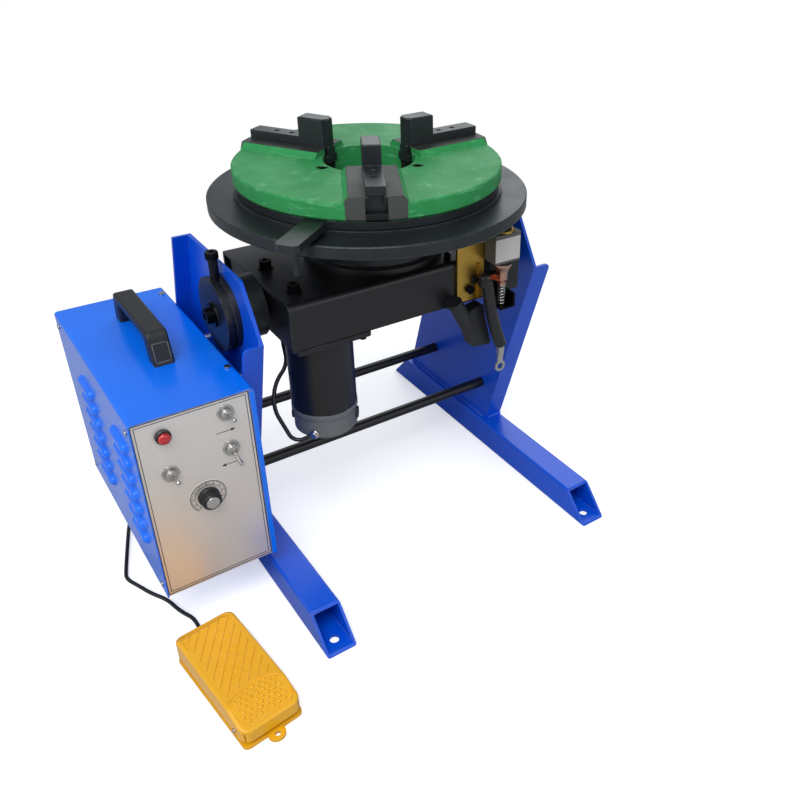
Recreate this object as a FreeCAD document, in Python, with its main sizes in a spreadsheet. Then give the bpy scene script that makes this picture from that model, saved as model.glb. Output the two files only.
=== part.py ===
"""Welding positioner: a tilting, turning table with a quick chuck, on a tube base.

Axes: +Z up, +X along the tilt axis away from the control box, -Y the front.
The origin is the centre of the four floor bolts.  Lengths are in millimetres.
Parts are listed from the floor up: base, control box, foot switch, tilting head,
earth brush, turntable, chuck.
"""
import FreeCAD, Part
import math
import os
import re

import Sketcher
from FreeCAD import Placement, Rotation, Vector

SIZES = [
    # base
    ("foot_length", 490, "foot tube along the floor"),
    ("foot_nose", 38, "how far the slanted tube end leans back at its top"),
    ("foot_overhang", 8.5, "tube centre outside the side plate's inner face"),
    ("foot_width", 36, "tube width"),
    ("foot_height", 40, "tube height"),
    ("foot_wall", 3, "tube wall"),
    ("floor_bolt_inset", 20, "floor bolt from the end of its tube"),
    ("floor_bolt_radius", 5.5, "floor bolt hole"),
    ("plate_gap", 360, "between the inner faces of the side plates"),
    ("plate_thickness", 4, "sheet of the side plates"),
    ("plate_lean", 94, "how far the front edge leans forward up to the shoulder"),
    ("plate_foot_front", -8, "front end of the plate on the tube"),
    ("plate_foot_rear", 202, "rear end of the plate on the tube"),
    ("plate_shoulder_drop", 5, "front shoulder below the tilt axis"),
    ("plate_top_rise", 55, "top edge above the tilt axis"),
    ("plate_top_front", -65, "front end of the top edge"),
    ("plate_top_rear", 87, "rear end of the top edge"),
    ("plate_corner_radius", 8, "rounded top corners"),
    ("rod_radius", 7, "tie rods"),
    ("rod_height", 98, "height of the tie rods"),
    ("rod_front", 6, "front rod"),
    ("rod_rear", 131, "rear rod"),
    ("box_bolt_radius", 3, "bolts that hang the control box on the left plate"),
    ("rod_nut_width", 22, "across the flats of the rod nuts"),
    ("rod_nut_thickness", 9, "rod nut"),
    ("pivot_height", 328, "tilt axis above the floor"),
    ("head_shift", -16, "tilt axis and spindle behind or ahead of the base centre"),
    ("pivot_radius", 15, "trunnion pin"),
    ("running_clearance", 0.05, "radial clearance of turning pins"),
    ("lock_hub_radius", 42, "tilt lock hub on the left plate"),
    ("lock_hub_thickness", 16, "tilt lock hub"),
    ("lock_screw_radius", 5, "tilt lock screw"),
    ("lock_screw_head_radius", 6.5, "tilt lock screw head"),
    ("lock_screw_rise", 30, "from the hub's rim to the top of the screw head"),
    ("right_hub_radius", 30, "pivot hub on the right plate"),
    # control box
    ("box_gap", 19, "between the left plate and the control box"),
    ("box_clearance", 1, "between the left plate's flanges and the control box"),
    ("box_width", 126, "control box"),
    ("box_front", -120, "front face of the control box"),
    ("box_length", 284, "control box front to rear"),
    ("box_bottom", 63, "underside of the control box"),
    ("box_height", 227, "control box"),
    ("box_sheet", 1.5, "sheet of the control box"),
    ("box_corner", 4, "bend radius of the cover"),
    ("cover_lip", 5.5, "return of the cover in front of the panel's right edge"),
    ("panel_inset", 2, "how far the front panel sits inside the cover"),
    ("handle_length", 142, "carrying handle"),
    ("handle_height", 36, "carrying handle"),
    ("handle_width", 22, "carrying handle"),
    ("handle_bar", 11, "thickness of the handle's bar"),
    ("louvre_length", 50, "pressed louvre"),
    ("louvre_radius", 8, "round of a pressed louvre"),
    ("louvre_rise", 5.5, "pressed louvre"),
    ("louvre_pitch", 20, "between louvres"),
    ("left_column", 30, "lamp and foot toggle from the box's left side"),
    ("right_column", 94, "power and direction toggles from the box's left side"),
    ("dial_column", 62, "speed dial from the box's left side"),
    ("lamp_drop", 24, "pilot lamp below the top of the box"),
    ("foot_toggle_drop", 70, "foot toggle below the top of the box"),
    ("power_toggle_drop", 20, "power toggle below the top of the box"),
    ("direction_toggle_drop", 64, "direction toggle below the top of the box"),
    ("dial_drop", 114, "speed dial below the top of the box"),
    ("lamp_radius", 8, "pilot lamp bezel"),
    ("toggle_radius", 5.5, "toggle switch bush"),
    ("toggle_tilt", 12, "degrees a toggle leans from straight out"),
    ("toggle_lever_length", 18, "toggle lever outside its bush"),
    ("dial_radius", 19.5, "speed dial"),
    ("knob_radius", 11.5, "speed knob"),
    ("knob_height", 15, "speed knob"),
    # foot switch
    ("pedal_length", 150, "foot switch front to rear"),
    ("pedal_width", 66, "foot switch"),
    ("pedal_height", 38, "foot switch"),
    ("pedal_wall", 2.5, "wall of the pedal casting"),
    ("pedal_turn", 6.4, "degrees the foot switch is turned on the floor"),
    ("pedal_place_x", -299, "foot switch centre"),
    ("pedal_place_y", -221, "foot switch centre"),
    ("cord_radius", 2.25, "foot switch cord"),
    ("mains_lead_radius", 3, "bore of the empty gland"),
    ("coil_x", -270, "centre of the coiled cord"),
    ("coil_y", 150, "centre of the coiled cord"),
    ("coil_radius", 33, "middle of the coil's turns"),
    # tilting head
    ("wheel_room", 5.3, "between the drive wheel and the housing skirts"),
    ("end_room", 4.3, "between the drive pinion and the end bracket"),
    ("housing_depth", 55, "housing skirts"),
    ("housing_rise", 5.5, "middle of the housing above the tilt axis"),
    ("trunnion_boss", 36, "radius of a trunnion between housing and plate"),
    ("housing_sheet", 4, "plate of the housing"),
    ("housing_bend", 7, "outer bend radius of the housing"),
    ("end_recess", 4, "end brackets inside the housing's ends"),
    ("end_plate", 6, "sheet of the end brackets"),
    ("hub_height", 51, "bearing hub under the table"),
    ("hub_radius", 78, "bearing hub under the table"),
    ("bearing_bore", 40, "spindle bearings"),
    ("bearing_outside", 80, "spindle bearings"),
    ("bearing_width", 18, "spindle bearings"),
    ("motor_angle", 65.5, "degrees round the spindle from the front to the motor"),
    ("motor_radius", 38, "motor can"),
    ("motor_length", 93, "motor can"),
    ("motor_shaft_radius", 6, "motor shaft"),
    ("motor_cap_length", 34, "motor end cap"),
    ("motor_cable_radius", 2.4, "motor cable"),
    ("motor_flange_width", 90, "motor flange"),
    ("motor_flange_thickness", 6, "motor flange"),
    ("gear_module", 3, "drive gears"),
    ("wheel_teeth", 52, "drive wheel on the spindle"),
    ("pinion_teeth", 22, "drive pinion on the motor"),
    ("gear_backlash", 0.6, "play between the gears at the pitch line"),
    ("gear_width", 12, "face width of the gears"),
    # earth brush
    ("brush_x", 113, "brush axis right of the spindle"),
    ("brush_radius", 9, "carbon brush"),
    ("holder_width", 36, "brush holder block"),
    ("holder_depth", 23.5, "brush holder block"),
    ("holder_height", 36, "brush holder block"),
    ("shelf_drop", 9, "spring shelf below the housing"),
    ("holder_drop", 3, "underside of the brush holder below the housing's top"),
    ("bracket_width", 38, "brush bracket"),
    ("bracket_sheet", 4, "brush bracket"),
    ("spring_radius", 5.2, "brush spring"),
    ("spring_wire", 1, "radius of the spring's wire"),
    ("lead_radius", 7.5, "earth lead sleeve"),
    ("lug_hole_radius", 4.1, "hole in the earth lug"),
    # turntable
    ("table_radius", 180, "worktable"),
    ("table_thickness", 14, "worktable"),
    ("flange_gap", 2.5, "between the bearing hub and the spindle flange"),
    ("table_bore_radius", 15, "hole through the worktable and spindle"),
    ("spindle_flange_radius", 62, "spindle flange under the table"),
    ("spindle_flange_thickness", 8, "spindle flange under the table"),
    # chuck
    ("chuck_radius", 150, "chuck body"),
    ("chuck_adaptor_thickness", 4.5, "adaptor plate between table and chuck"),
    ("cam_thickness", 8, "cam ring and lever"),
    ("cam_clearance", 0.5, "above and below the cam ring"),
    ("chuck_floor", 8.5, "chuck body under the slides"),
    ("chuck_rim_height", 19.5, "chuck body without its ways"),
    ("way_rise", 7, "ways above the chuck body"),
    ("way_width", 54, "flat top of a way"),
    ("way_flank", 6, "slope beside a way"),
    ("slot_throat_width", 14, "T-slot"),
    ("slot_base_width", 22, "T-slot"),
    ("slot_base_height", 9, "T-slot"),
    ("slide_clearance", 0.3, "all round a jaw slide"),
    ("chuck_bore_radius", 52, "hole through the chuck body"),
    ("chuck_bolt_radius", 60, "circle of the chuck bolts"),
    ("chuck_turn", 3.5, "degrees from +X to the first way"),
    ("lever_turn", 219.5, "degrees from +X to the lever"),
    ("lever_overhang", 36, "lever's end outside the worktable"),
    ("lever_width", 24, "lever"),
    ("jaw_inner_radius", 47, "gripping face of a jaw"),
    ("jaw_length", 99.5, "jaw along its way"),
    ("jaw_width", 20, "jaw"),
    ("jaw_bar_height", 9.5, "jaw bar above the way"),
    ("jaw_block_length", 35.5, "raised block of a jaw"),
    ("jaw_block_height", 31.5, "raised block of a jaw"),
    ("cam_pin_radius", 5, "pin under a slide"),
    ("cam_pin_circle", 106, "pin from the chuck axis at rest"),
    ("cam_rate", 0.2, "slide travel for each degree of the lever"),
    ("cam_open_angle", 15, "lever degrees that open the jaws"),
    ("cam_close_angle", 60, "lever degrees that close the jaws"),
]

# sizes that follow from the ones above
FOLLOWING = [
    ("foot_spacing", "plate_gap + 2 * foot_overhang", "between the two tube centres"),
    ("floor_bolt_spacing", "foot_length - 2 * floor_bolt_inset", "front to rear floor bolts"),
    ("plate_shoulder_height", "pivot_height - plate_shoulder_drop", "height of the front shoulder"),
    ("plate_top_height", "pivot_height + plate_top_rise", "height of the top edge"),
    ("box_left", "-(plate_gap / 2 + plate_thickness + box_gap + box_width)", "left side of the box"),
    ("lamp_row", "box_height - lamp_drop", "pilot lamp above the box's underside"),
    ("foot_toggle_row", "box_height - foot_toggle_drop", "foot toggle above the underside"),
    ("power_toggle_row", "box_height - power_toggle_drop", "power toggle above the underside"),
    ("direction_toggle_row", "box_height - direction_toggle_drop", "direction toggle, the same"),
    ("dial_row", "box_height - dial_drop", "speed dial above the box's underside"),
    ("gear_centres", "(wheel_teeth + pinion_teeth) * gear_module / 2", "spindle to motor axis"),
    ("motor_offset", "gear_centres * sin(motor_angle)", "motor axis left of the spindle"),
    ("wheel_outside", "(wheel_teeth + 1.8) * gear_module / 2", "tip radius of the drive wheel"),
    ("pinion_outside", "(pinion_teeth + 1.8) * gear_module / 2", "tip radius of the pinion"),
    ("housing_width", "2 * (wheel_outside + wheel_room + housing_sheet)", "housing front to rear"),
    ("housing_length", "2 * (motor_offset + pinion_outside + end_room + end_plate + end_recess)",
     "housing along the tilt axis"),
    ("housing_top", "pivot_height + housing_rise + housing_depth / 2", "top of the housing"),
    ("table_height", "housing_top + hub_height + flange_gap + spindle_flange_thickness"
     " + table_thickness", "top of the worktable"),
    ("holder_bottom", "housing_top - holder_drop", "underside of the brush holder"),
    ("lever_reach", "table_radius + lever_overhang", "from the spindle axis to the lever's end"),
]

doc = FreeCAD.newDocument("WeldingPositioner")
sheet = doc.addObject("Spreadsheet::Sheet", "Sizes")
for row, (alias, number, note) in enumerate(SIZES, 1):
    sheet.set("A%d" % row, alias)
    sheet.set("B%d" % row, str(number))
    sheet.set("C%d" % row, note)
    sheet.setAlias("B%d" % row, alias)
for row, (alias, text, note) in enumerate(FOLLOWING, len(SIZES) + 1):
    sheet.set("A%d" % row, alias)
    sheet.set("B%d" % row, "=" + text)
    sheet.set("C%d" % row, note)
    sheet.setAlias("B%d" % row, alias)
doc.recompute()
ALIASES = {alias for alias, number, note in SIZES + FOLLOWING}
NODES = []


# ---------------------------------------------------------------- formulas and helpers

def formula(text):
    """Text with each size's name turned into a reference to its cell."""
    def reference(match):
        word = match.group(0)
        return "Sizes." + word if word in ALIASES else word
    return re.sub(r"[A-Za-z_]+", reference, str(text))


def value(text):
    """The number that a formula comes to now."""
    result = sheet.evalExpression(formula(text))
    return float(getattr(result, "Value", result))


def bind(thing, **formulas):
    """Hold each named property of an object to a formula."""
    for name, text in formulas.items():
        thing.setExpression(name, formula(text))
    return thing


def place(thing, x="0", y="0", z="0", axis=None, angle=None):
    """Set an object's place by formulas, and its turn about an axis by a formula or a number."""
    if axis is not None:
        number = value(angle)
        thing.Placement = Placement(Vector(), Rotation(Vector(*axis), number if number else 0.001))
        if isinstance(angle, str):
            thing.setExpression("Placement.Rotation.Angle", formula(angle))
        else:
            thing.Placement = Placement(Vector(), Rotation(Vector(*axis), angle))
    for letter, text in zip("xyz", (x, y, z)):
        thing.setExpression("Placement.Base." + letter, formula(text))
    return thing


def node(thing, label):
    """Name a finished sub-part; its label names its file."""
    thing.Label = label
    NODES.append(thing)
    return thing


def block(name, x, y, z, length, width, height):
    """A box from its lowest corner."""
    thing = doc.addObject("Part::Box", name)
    bind(thing, Length=length, Width=width, Height=height)
    return place(thing, x, y, z)


AXIS_TURNS = {"z": ((0, 0, 1), 0), "x": ((0, 1, 0), 90), "y": ((1, 0, 0), -90)}


def rod(name, along, x, y, z, radius, length):
    """A cylinder that starts at a point and runs along +X, +Y or +Z."""
    thing = doc.addObject("Part::Cylinder", name)
    bind(thing, Radius=radius, Height=length)
    axis, angle = AXIS_TURNS[along]
    thing.Placement = Placement(Vector(), Rotation(Vector(*axis), angle))
    return place(thing, x, y, z)


def hexagon(name, along, x, y, z, across_flats, length):
    """A hexagonal prism that starts at a point and runs along an axis."""
    thing = doc.addObject("Part::Prism", name)
    thing.Polygon = 6
    bind(thing, Circumradius="(%s) / sqrt(3)" % across_flats, Height=length)
    axis, angle = AXIS_TURNS[along]
    thing.Placement = Placement(Vector(), Rotation(Vector(*axis), angle))
    return place(thing, x, y, z)


def solid(name, shape, base=None):
    """A plain solid made with Part's own functions."""
    thing = doc.addObject("Part::Feature", name)
    thing.Shape = shape
    if base is not None:
        thing.Placement = base
    return thing


def fuse(name, *things):
    thing = doc.addObject("Part::MultiFuse", name)
    thing.Shapes = list(things)
    thing.Refine = True
    return thing


def group(name, *things):
    thing = doc.addObject("Part::Compound", name)
    thing.Links = list(things)
    return thing


def cut(name, base, *tools):
    thing = doc.addObject("Part::Cut", name)
    thing.Base = base
    thing.Tool = tools[0] if len(tools) == 1 else fuse(name + "_tools", *tools)
    thing.Refine = True
    return thing


def body(name):
    return doc.addObject("PartDesign::Body", name)


def sketch(owner, role, name, offset="0"):
    """An empty sketch on one of a body's own origin planes, moved along the plane's normal."""
    plane = [item for item in owner.Origin.OriginFeatures if item.Role == role][0]
    drawing = owner.newObject("Sketcher::SketchObject", name)
    drawing.AttachmentSupport = (plane, [""])
    drawing.MapMode = "FlatFace"
    drawing.setExpression("AttachmentOffset.Base.z", formula(offset))
    return drawing


def hold(drawing, constraints):
    """Add constraints, each with the formula that drives it or None."""
    first = len(drawing.Constraints)
    drawing.addConstraint([constraint for constraint, text in constraints])
    for index, (constraint, text) in enumerate(constraints):
        if text is not None:
            drawing.setExpression("Constraints[%d]" % (first + index), formula(text))


def outline(drawing, corners):
    """A closed run of straight lines; each corner is held by two formulas."""
    points = [Vector(value(x), value(y), 0) for x, y in corners]
    first = drawing.GeometryCount
    count = len(points)
    lines = [Part.LineSegment(points[i], points[(i + 1) % count]) for i in range(count)]
    drawing.addGeometry(lines, False)
    held = []
    for i, (x, y) in enumerate(corners):
        following = first + (i + 1) % count
        held.append((Sketcher.Constraint("Coincident", first + i, 2, following, 1), None))
        held.append((Sketcher.Constraint("DistanceX", -1, 1, first + i, 1, points[i].x), x))
        held.append((Sketcher.Constraint("DistanceY", -1, 1, first + i, 1, points[i].y), y))
    hold(drawing, held)


def rectangle(drawing, left, low, right, high):
    outline(drawing, [(left, low), (right, low), (right, high), (left, high)])


def circle(drawing, x, y, radius):
    centre = Vector(value(x), value(y), 0)
    index = drawing.addGeometry(Part.Circle(centre, Vector(0, 0, 1), value(radius)), False)
    hold(drawing, [
        (Sketcher.Constraint("DistanceX", -1, 1, index, 3, centre.x), x),
        (Sketcher.Constraint("DistanceY", -1, 1, index, 3, centre.y), y),
        (Sketcher.Constraint("Radius", index, value(radius)), radius),
    ])


def pad(owner, drawing, length, middle=False, backwards=False):
    feature = owner.newObject("PartDesign::Pad", drawing.Name + "_pad")
    feature.Profile = drawing
    feature.Midplane = middle
    feature.Reversed = backwards
    bind(feature, Length=length)
    return feature


def pocket(owner, drawing, length, middle=False, backwards=False):
    feature = owner.newObject("PartDesign::Pocket", drawing.Name + "_pocket")
    feature.Profile = drawing
    feature.Midplane = middle
    feature.Reversed = backwards
    bind(feature, Length=length)
    return feature


def turned(owner, drawing):
    """A solid of revolution about the sketch's vertical axis."""
    feature = owner.newObject("PartDesign::Revolution", drawing.Name + "_turned")
    feature.Profile = drawing
    feature.ReferenceAxis = (drawing, ["V_Axis"])
    feature.Angle = 360
    return feature


def grooved(owner, drawing):
    feature = owner.newObject("PartDesign::Groove", drawing.Name + "_groove")
    feature.Profile = drawing
    feature.ReferenceAxis = (drawing, ["V_Axis"])
    feature.Angle = 360
    return feature


def ring_of(owner, features, count):
    """Copies of features in a full circle about the body's Z axis."""
    axis = [item for item in owner.Origin.OriginFeatures if item.Role == "Z_Axis"][0]
    pattern = owner.newObject("PartDesign::PolarPattern", features[0].Name + "_ring")
    pattern.Originals = features
    pattern.Axis = (axis, [""])
    pattern.Angle = 360
    bind(pattern, Occurrences=count)
    owner.Tip = pattern
    return pattern


def rounded(owner, feature, radius, test, kind="Fillet"):
    """Fillet or chamfer the edges of a feature whose middle passes a test."""
    doc.recompute()
    names = []
    for index, edge in enumerate(feature.Shape.Edges, 1):
        middle = edge.valueAt((edge.FirstParameter + edge.LastParameter) / 2)
        if test(edge, middle):
            names.append("Edge%d" % index)
    result = owner.newObject("PartDesign::" + kind, feature.Name + "_" + kind.lower())
    result.Base = (feature, names)
    bind(result, **{"Radius" if kind == "Fillet" else "Size": radius})
    return result


def upright(edge, middle):
    return abs(edge.tangentAt(edge.FirstParameter).z) > 0.999


def route(points, radius):
    """A tube along straight runs joined by tangent arcs, and the radii of its arcs."""
    edges = []
    radii = []
    start = points[0]
    for before, corner, after in zip(points, points[1:], points[2:]):
        inward = (corner - before).normalize()
        outward = (after - corner).normalize()
        turn = inward.getAngle(outward)
        run = min((corner - before).Length, (after - corner).Length)
        trim = 0.45 * run
        radii.append(trim / math.tan(turn / 2))
        first = corner - inward * trim
        last = corner + outward * trim
        bisector = (outward - inward).normalize()
        centre = corner + bisector * (radii[-1] / math.cos(turn / 2))
        middle = centre - bisector * radii[-1]
        edges.append(Part.LineSegment(start, first).toShape())
        edges.append(Part.Arc(first, middle, last).toShape())
        start = last
    edges.append(Part.LineSegment(start, points[-1]).toShape())
    path = Part.Wire(edges)
    direction = (points[1] - points[0]).normalize()
    profile = Part.Wire([Part.makeCircle(radius, points[0], direction)])
    tube = path.makePipeShell([profile], True, False, 2)
    length = path.Length
    expected = math.pi * radius * radius * length
    print("tube: length %.1f, volume %.4f of section times length" % (length, tube.Volume / expected))
    print("  radii", " ".join("%.0f" % item for item in radii))
    return tube


# ---------------------------------------------------------------- places that several parts share

FOOT_X = "foot_spacing / 2"
FLANGE_EDGE_X = "(foot_spacing + foot_width) / 2"
FLANGE_WIDTH = "((foot_spacing + foot_width) / 2 - plate_gap / 2)"
LEFT_FLANGE_WIDTH = "(plate_thickness + box_gap - box_clearance)"
PLATE_OUTSIDE = "(plate_gap / 2 + plate_thickness)"
HOUSING_TOP = "housing_top"
HOUSING_BOTTOM = "(pivot_height + housing_rise - housing_depth / 2)"
TABLE_BOTTOM = "(table_height - table_thickness)"
HUB_TOP = "(housing_top + hub_height)"
CAM_BOTTOM = "(table_height + chuck_adaptor_thickness + cam_clearance)"
CHUCK_BOTTOM = "(table_height + chuck_adaptor_thickness + 2 * cam_clearance + cam_thickness)"
SLOT_BOTTOM = "(%s + chuck_floor)" % CHUCK_BOTTOM
CHUCK_TOP = "(%s + chuck_rim_height)" % CHUCK_BOTTOM
WAY_TOP = "(%s + way_rise)" % CHUCK_TOP
BOX_RIGHT = "(box_left + box_width)"
BOX_TOP = "(box_bottom + box_height)"
PANEL_FACE = "(box_front + panel_inset)"
MOTOR_Y = "(head_shift - gear_centres * cos(motor_angle))"
GEAR_BOTTOM = "(%s + 12)" % HOUSING_BOTTOM
WAY_ANGLES = ["chuck_turn", "chuck_turn + 120", "chuck_turn + 240"]


# ---------------------------------------------------------------- base

def foot_tube(name, side):
    """A square tube with slanted open ends and a bolt hole near each end of its floor wall."""
    tube = body(name)
    profile = sketch(tube, "YZ_Plane", name + "_side")
    outline(profile, [
        ("-foot_length / 2", "0"), ("foot_length / 2", "0"),
        ("foot_length / 2 - foot_nose", "foot_height"), ("foot_nose - foot_length / 2", "foot_height"),
    ])
    outer = pad(tube, profile, "foot_width", middle=True)
    rounded(tube, outer, "foot_wall", lambda edge, middle: abs(edge.tangentAt(0).y) > 0.999)
    hollow = sketch(tube, "XZ_Plane", name + "_hollow")
    rectangle(hollow, "foot_wall - foot_width / 2", "foot_wall",
              "foot_width / 2 - foot_wall", "foot_height - foot_wall")
    pocket(tube, hollow, "foot_length", middle=True)
    holes = sketch(tube, "XY_Plane", name + "_holes", "foot_wall")
    circle(holes, "0", "floor_bolt_spacing / 2", "floor_bolt_radius")
    circle(holes, "0", "-floor_bolt_spacing / 2", "floor_bolt_radius")
    pocket(tube, holes, "foot_wall")
    return node(place(tube, "%d * %s" % (side, FOOT_X)), name)


def flange(owner, name, low_y, low_z, high_y, high_z, backwards):
    """A flange of a side plate: a strip that follows the plate's sloping edge."""
    strip = sketch(owner, "YZ_Plane", name)
    outline(strip, [
        (low_y, low_z), (low_y + " + plate_thickness", low_z),
        (high_y + " + plate_thickness", high_z), (high_y, high_z),
    ])
    return pad(owner, strip, LEFT_FLANGE_WIDTH if backwards else FLANGE_WIDTH, backwards=backwards)


BOX_BOLTS = [("32", "110"), ("110", "110"), ("-30", "250"), ("80", "250")]


def side_plate(name, side):
    """A folded plate: a web that leans forward, with a flange turned outward front and rear."""
    left = side < 0
    plate = body(name)
    web = sketch(plate, "YZ_Plane", name + "_web")
    outline(web, [
        ("plate_foot_front", "foot_height"), ("plate_foot_rear", "foot_height"),
        ("plate_top_rear", "plate_top_height"), ("plate_top_front", "plate_top_height"),
        ("plate_foot_front - plate_lean", "plate_shoulder_height"),
    ])
    sheet_pad = pad(plate, web, "plate_thickness", backwards=left)
    rounded(plate, sheet_pad, "plate_corner_radius",
            lambda edge, middle: abs(edge.tangentAt(0).x) > 0.999
            and middle.z > value("plate_top_height - 1") and middle.y < 0)
    front = flange(plate, name + "_front_flange", "plate_foot_front", "foot_height",
                   "plate_foot_front - plate_lean", "plate_shoulder_height", left)
    rounded(plate, front, "plate_corner_radius",
            lambda edge, middle: abs(edge.tangentAt(0).y) > 0.999
            and abs(middle.z - value("plate_shoulder_height")) < 0.1
            and abs(middle.x) > value(LEFT_FLANGE_WIDTH) - 0.1)
    flange(plate, name + "_rear_flange", "plate_foot_rear - plate_thickness", "foot_height",
           "plate_top_rear - plate_thickness", "plate_top_height", left)
    holes = sketch(plate, "YZ_Plane", name + "_holes")
    circle(holes, "head_shift", "pivot_height", "pivot_radius + running_clearance")
    circle(holes, "rod_front", "rod_height", "rod_radius")
    circle(holes, "rod_rear", "rod_height", "rod_radius")
    if left:
        for y, z in BOX_BOLTS:
            circle(holes, y, z, "box_bolt_radius")
    pocket(plate, holes, "plate_thickness", backwards=not left)
    return node(place(plate, "%d * plate_gap / 2" % side), name)


def tie_rods():
    """Two round rods through both side plates, with a nut outside each plate."""
    reach = "(%s + rod_nut_thickness + 3)" % PLATE_OUTSIDE
    rods = [rod("tie_rod_%d" % i, "x", "-" + reach, y, "rod_height", "rod_radius", "2 * " + reach)
            for i, y in enumerate(("rod_front", "rod_rear"))]
    node(group("tie_rod_pair", *rods), "tie_rods")
    nuts = []
    for i, y in enumerate(("rod_front", "rod_rear")):
        for side, x in ((-1, "-(%s + rod_nut_thickness)" % PLATE_OUTSIDE), (1, PLATE_OUTSIDE)):
            name = "rod_nut_%d_%s" % (i, "left" if side < 0 else "right")
            blank = hexagon(name, "x", x, y, "rod_height", "rod_nut_width", "rod_nut_thickness")
            hole = rod(name + "_hole", "x", x, y, "rod_height", "rod_radius", "rod_nut_thickness")
            nuts.append(cut(name + "_cut", blank, hole))
    node(group("rod_nut_set", *nuts), "tie_rod_nuts")


def tilt_hubs():
    """The round hubs outside the plates that the trunnions turn in; the left one has a lock screw."""
    hub_x = "-(%s + lock_hub_thickness)" % PLATE_OUTSIDE
    disc = rod("lock_disc", "x", hub_x, "head_shift", "pivot_height", "lock_hub_radius",
               "lock_hub_thickness")
    bore = rod("lock_disc_bore", "x", hub_x, "head_shift", "pivot_height",
               "pivot_radius + running_clearance", "lock_hub_thickness")
    screw_x = "-(%s + lock_hub_thickness / 2)" % PLATE_OUTSIDE
    thread = rod("lock_disc_thread", "z", screw_x, "head_shift", "pivot_height",
                 "lock_screw_radius + running_clearance", "lock_hub_radius + 1")
    groove_outer = rod("lock_disc_groove", "x", "%s + lock_hub_thickness * 0.35" % hub_x,
                       "head_shift", "pivot_height", "lock_hub_radius + 2", "lock_hub_thickness * 0.3")
    groove_inner = rod("lock_disc_groove_floor", "x", "%s + lock_hub_thickness * 0.3" % hub_x,
                       "head_shift", "pivot_height", "lock_hub_radius - 2.5", "lock_hub_thickness * 0.4")
    groove = cut("lock_disc_groove_ring", groove_outer, groove_inner)
    node(cut("lock_hub", disc, bore, thread, groove), "tilt_lock_hub")
    right = rod("right_disc", "x", PLATE_OUTSIDE, "head_shift", "pivot_height", "right_hub_radius",
                "lock_hub_thickness")
    right_bore = rod("right_disc_bore", "x", PLATE_OUTSIDE, "head_shift", "pivot_height",
                     "pivot_radius + running_clearance", "lock_hub_thickness")
    node(cut("right_hub", right, right_bore), "right_pivot_hub")
    shank = rod("lock_shank", "z", screw_x, "head_shift", "pivot_height + pivot_radius + 0.4",
                "lock_screw_radius", "lock_hub_radius + lock_screw_rise - pivot_radius - 8.4")
    head = rod("lock_head", "z", screw_x, "head_shift",
               "pivot_height + lock_hub_radius + lock_screw_rise - 8", "lock_screw_head_radius", "8")
    socket = hexagon("lock_socket", "z", screw_x, "head_shift",
                     "pivot_height + lock_hub_radius + lock_screw_rise - 4", "6", "4")
    node(cut("lock_screw", fuse("lock_screw_blank", shank, head), socket), "tilt_lock_screw")


# ---------------------------------------------------------------- control box

def control_box_cover():
    """A folded cover, open below, front and rear, with pressed louvres on its left side."""
    cover = body("cover_sheet")
    profile = sketch(cover, "XZ_Plane", "cover_profile")
    outline(profile, [
        ("0", "0"), ("box_sheet", "0"), ("box_sheet", "box_height - box_sheet"),
        ("box_width - box_sheet", "box_height - box_sheet"), ("box_width - box_sheet", "0"),
        ("box_width", "0"), ("box_width", "box_height"), ("0", "box_height"),
    ])
    shell = pad(cover, profile, "box_length", backwards=True)
    outer = rounded(cover, shell, "box_corner",
                    lambda edge, middle: abs(edge.tangentAt(0).y) > 0.999
                    and middle.z > value("box_height") - 0.1)
    rounded(cover, outer, "box_corner - box_sheet",
            lambda edge, middle: abs(edge.tangentAt(0).y) > 0.999
            and abs(middle.z - value("box_height - box_sheet")) < 0.1
            and value("box_sheet") - 0.1 < middle.x < value("box_width - box_sheet") + 0.1)
    place(cover, "box_left", "box_front", "box_bottom")
    hoods = []
    hollows = []
    for column, (y, z) in enumerate((("54", "60.5"), ("180", "57"))):
        for i in range(7):
            height = "box_bottom + %s + %d * louvre_pitch" % (z, i)
            for kind, inset, kept in (("hood", "0", hoods), ("hollow", "box_sheet", hollows)):
                name = "louvre_%s_%d_%d" % (kind, column, i)
                depth = "box_left + louvre_radius - louvre_rise"
                half = "(louvre_length / 2 - louvre_radius)"
                middle = rod(name + "_middle", "y", depth, "box_front + %s - %s" % (y, half), height,
                             "louvre_radius - " + inset, "2 * " + half)
                ends = []
                for side in ("-", "+"):
                    end = doc.addObject("Part::Sphere", name + "_end")
                    bind(end, Radius="louvre_radius - " + inset)
                    ends.append(place(end, depth, "box_front + %s %s %s" % (y, side, half), height))
                kept.append(fuse(name, middle, *ends))
    inside = block("cover_inside", "box_left + box_sheet", "box_front + 10", "box_bottom + 10",
                   "box_width / 2", "box_length - 20", "box_height - 20")
    lip = block("cover_return", BOX_RIGHT + " - cover_lip", "box_front", "box_bottom", "cover_lip",
                "box_sheet", "box_height - box_corner")
    holes = [rod("cover_bolt_hole_%d" % i, "x", BOX_RIGHT + " - 5", y, z, "box_bolt_radius", "10")
             for i, (y, z) in enumerate(BOX_BOLTS)]
    pressed = cut("pressed_louvres", fuse("louvre_set", *hoods), inside)
    node(cut("cover_drilled", fuse("cover_pressed", cover, lip, pressed), *hollows, *holes),
         "control_box_cover")


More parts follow.
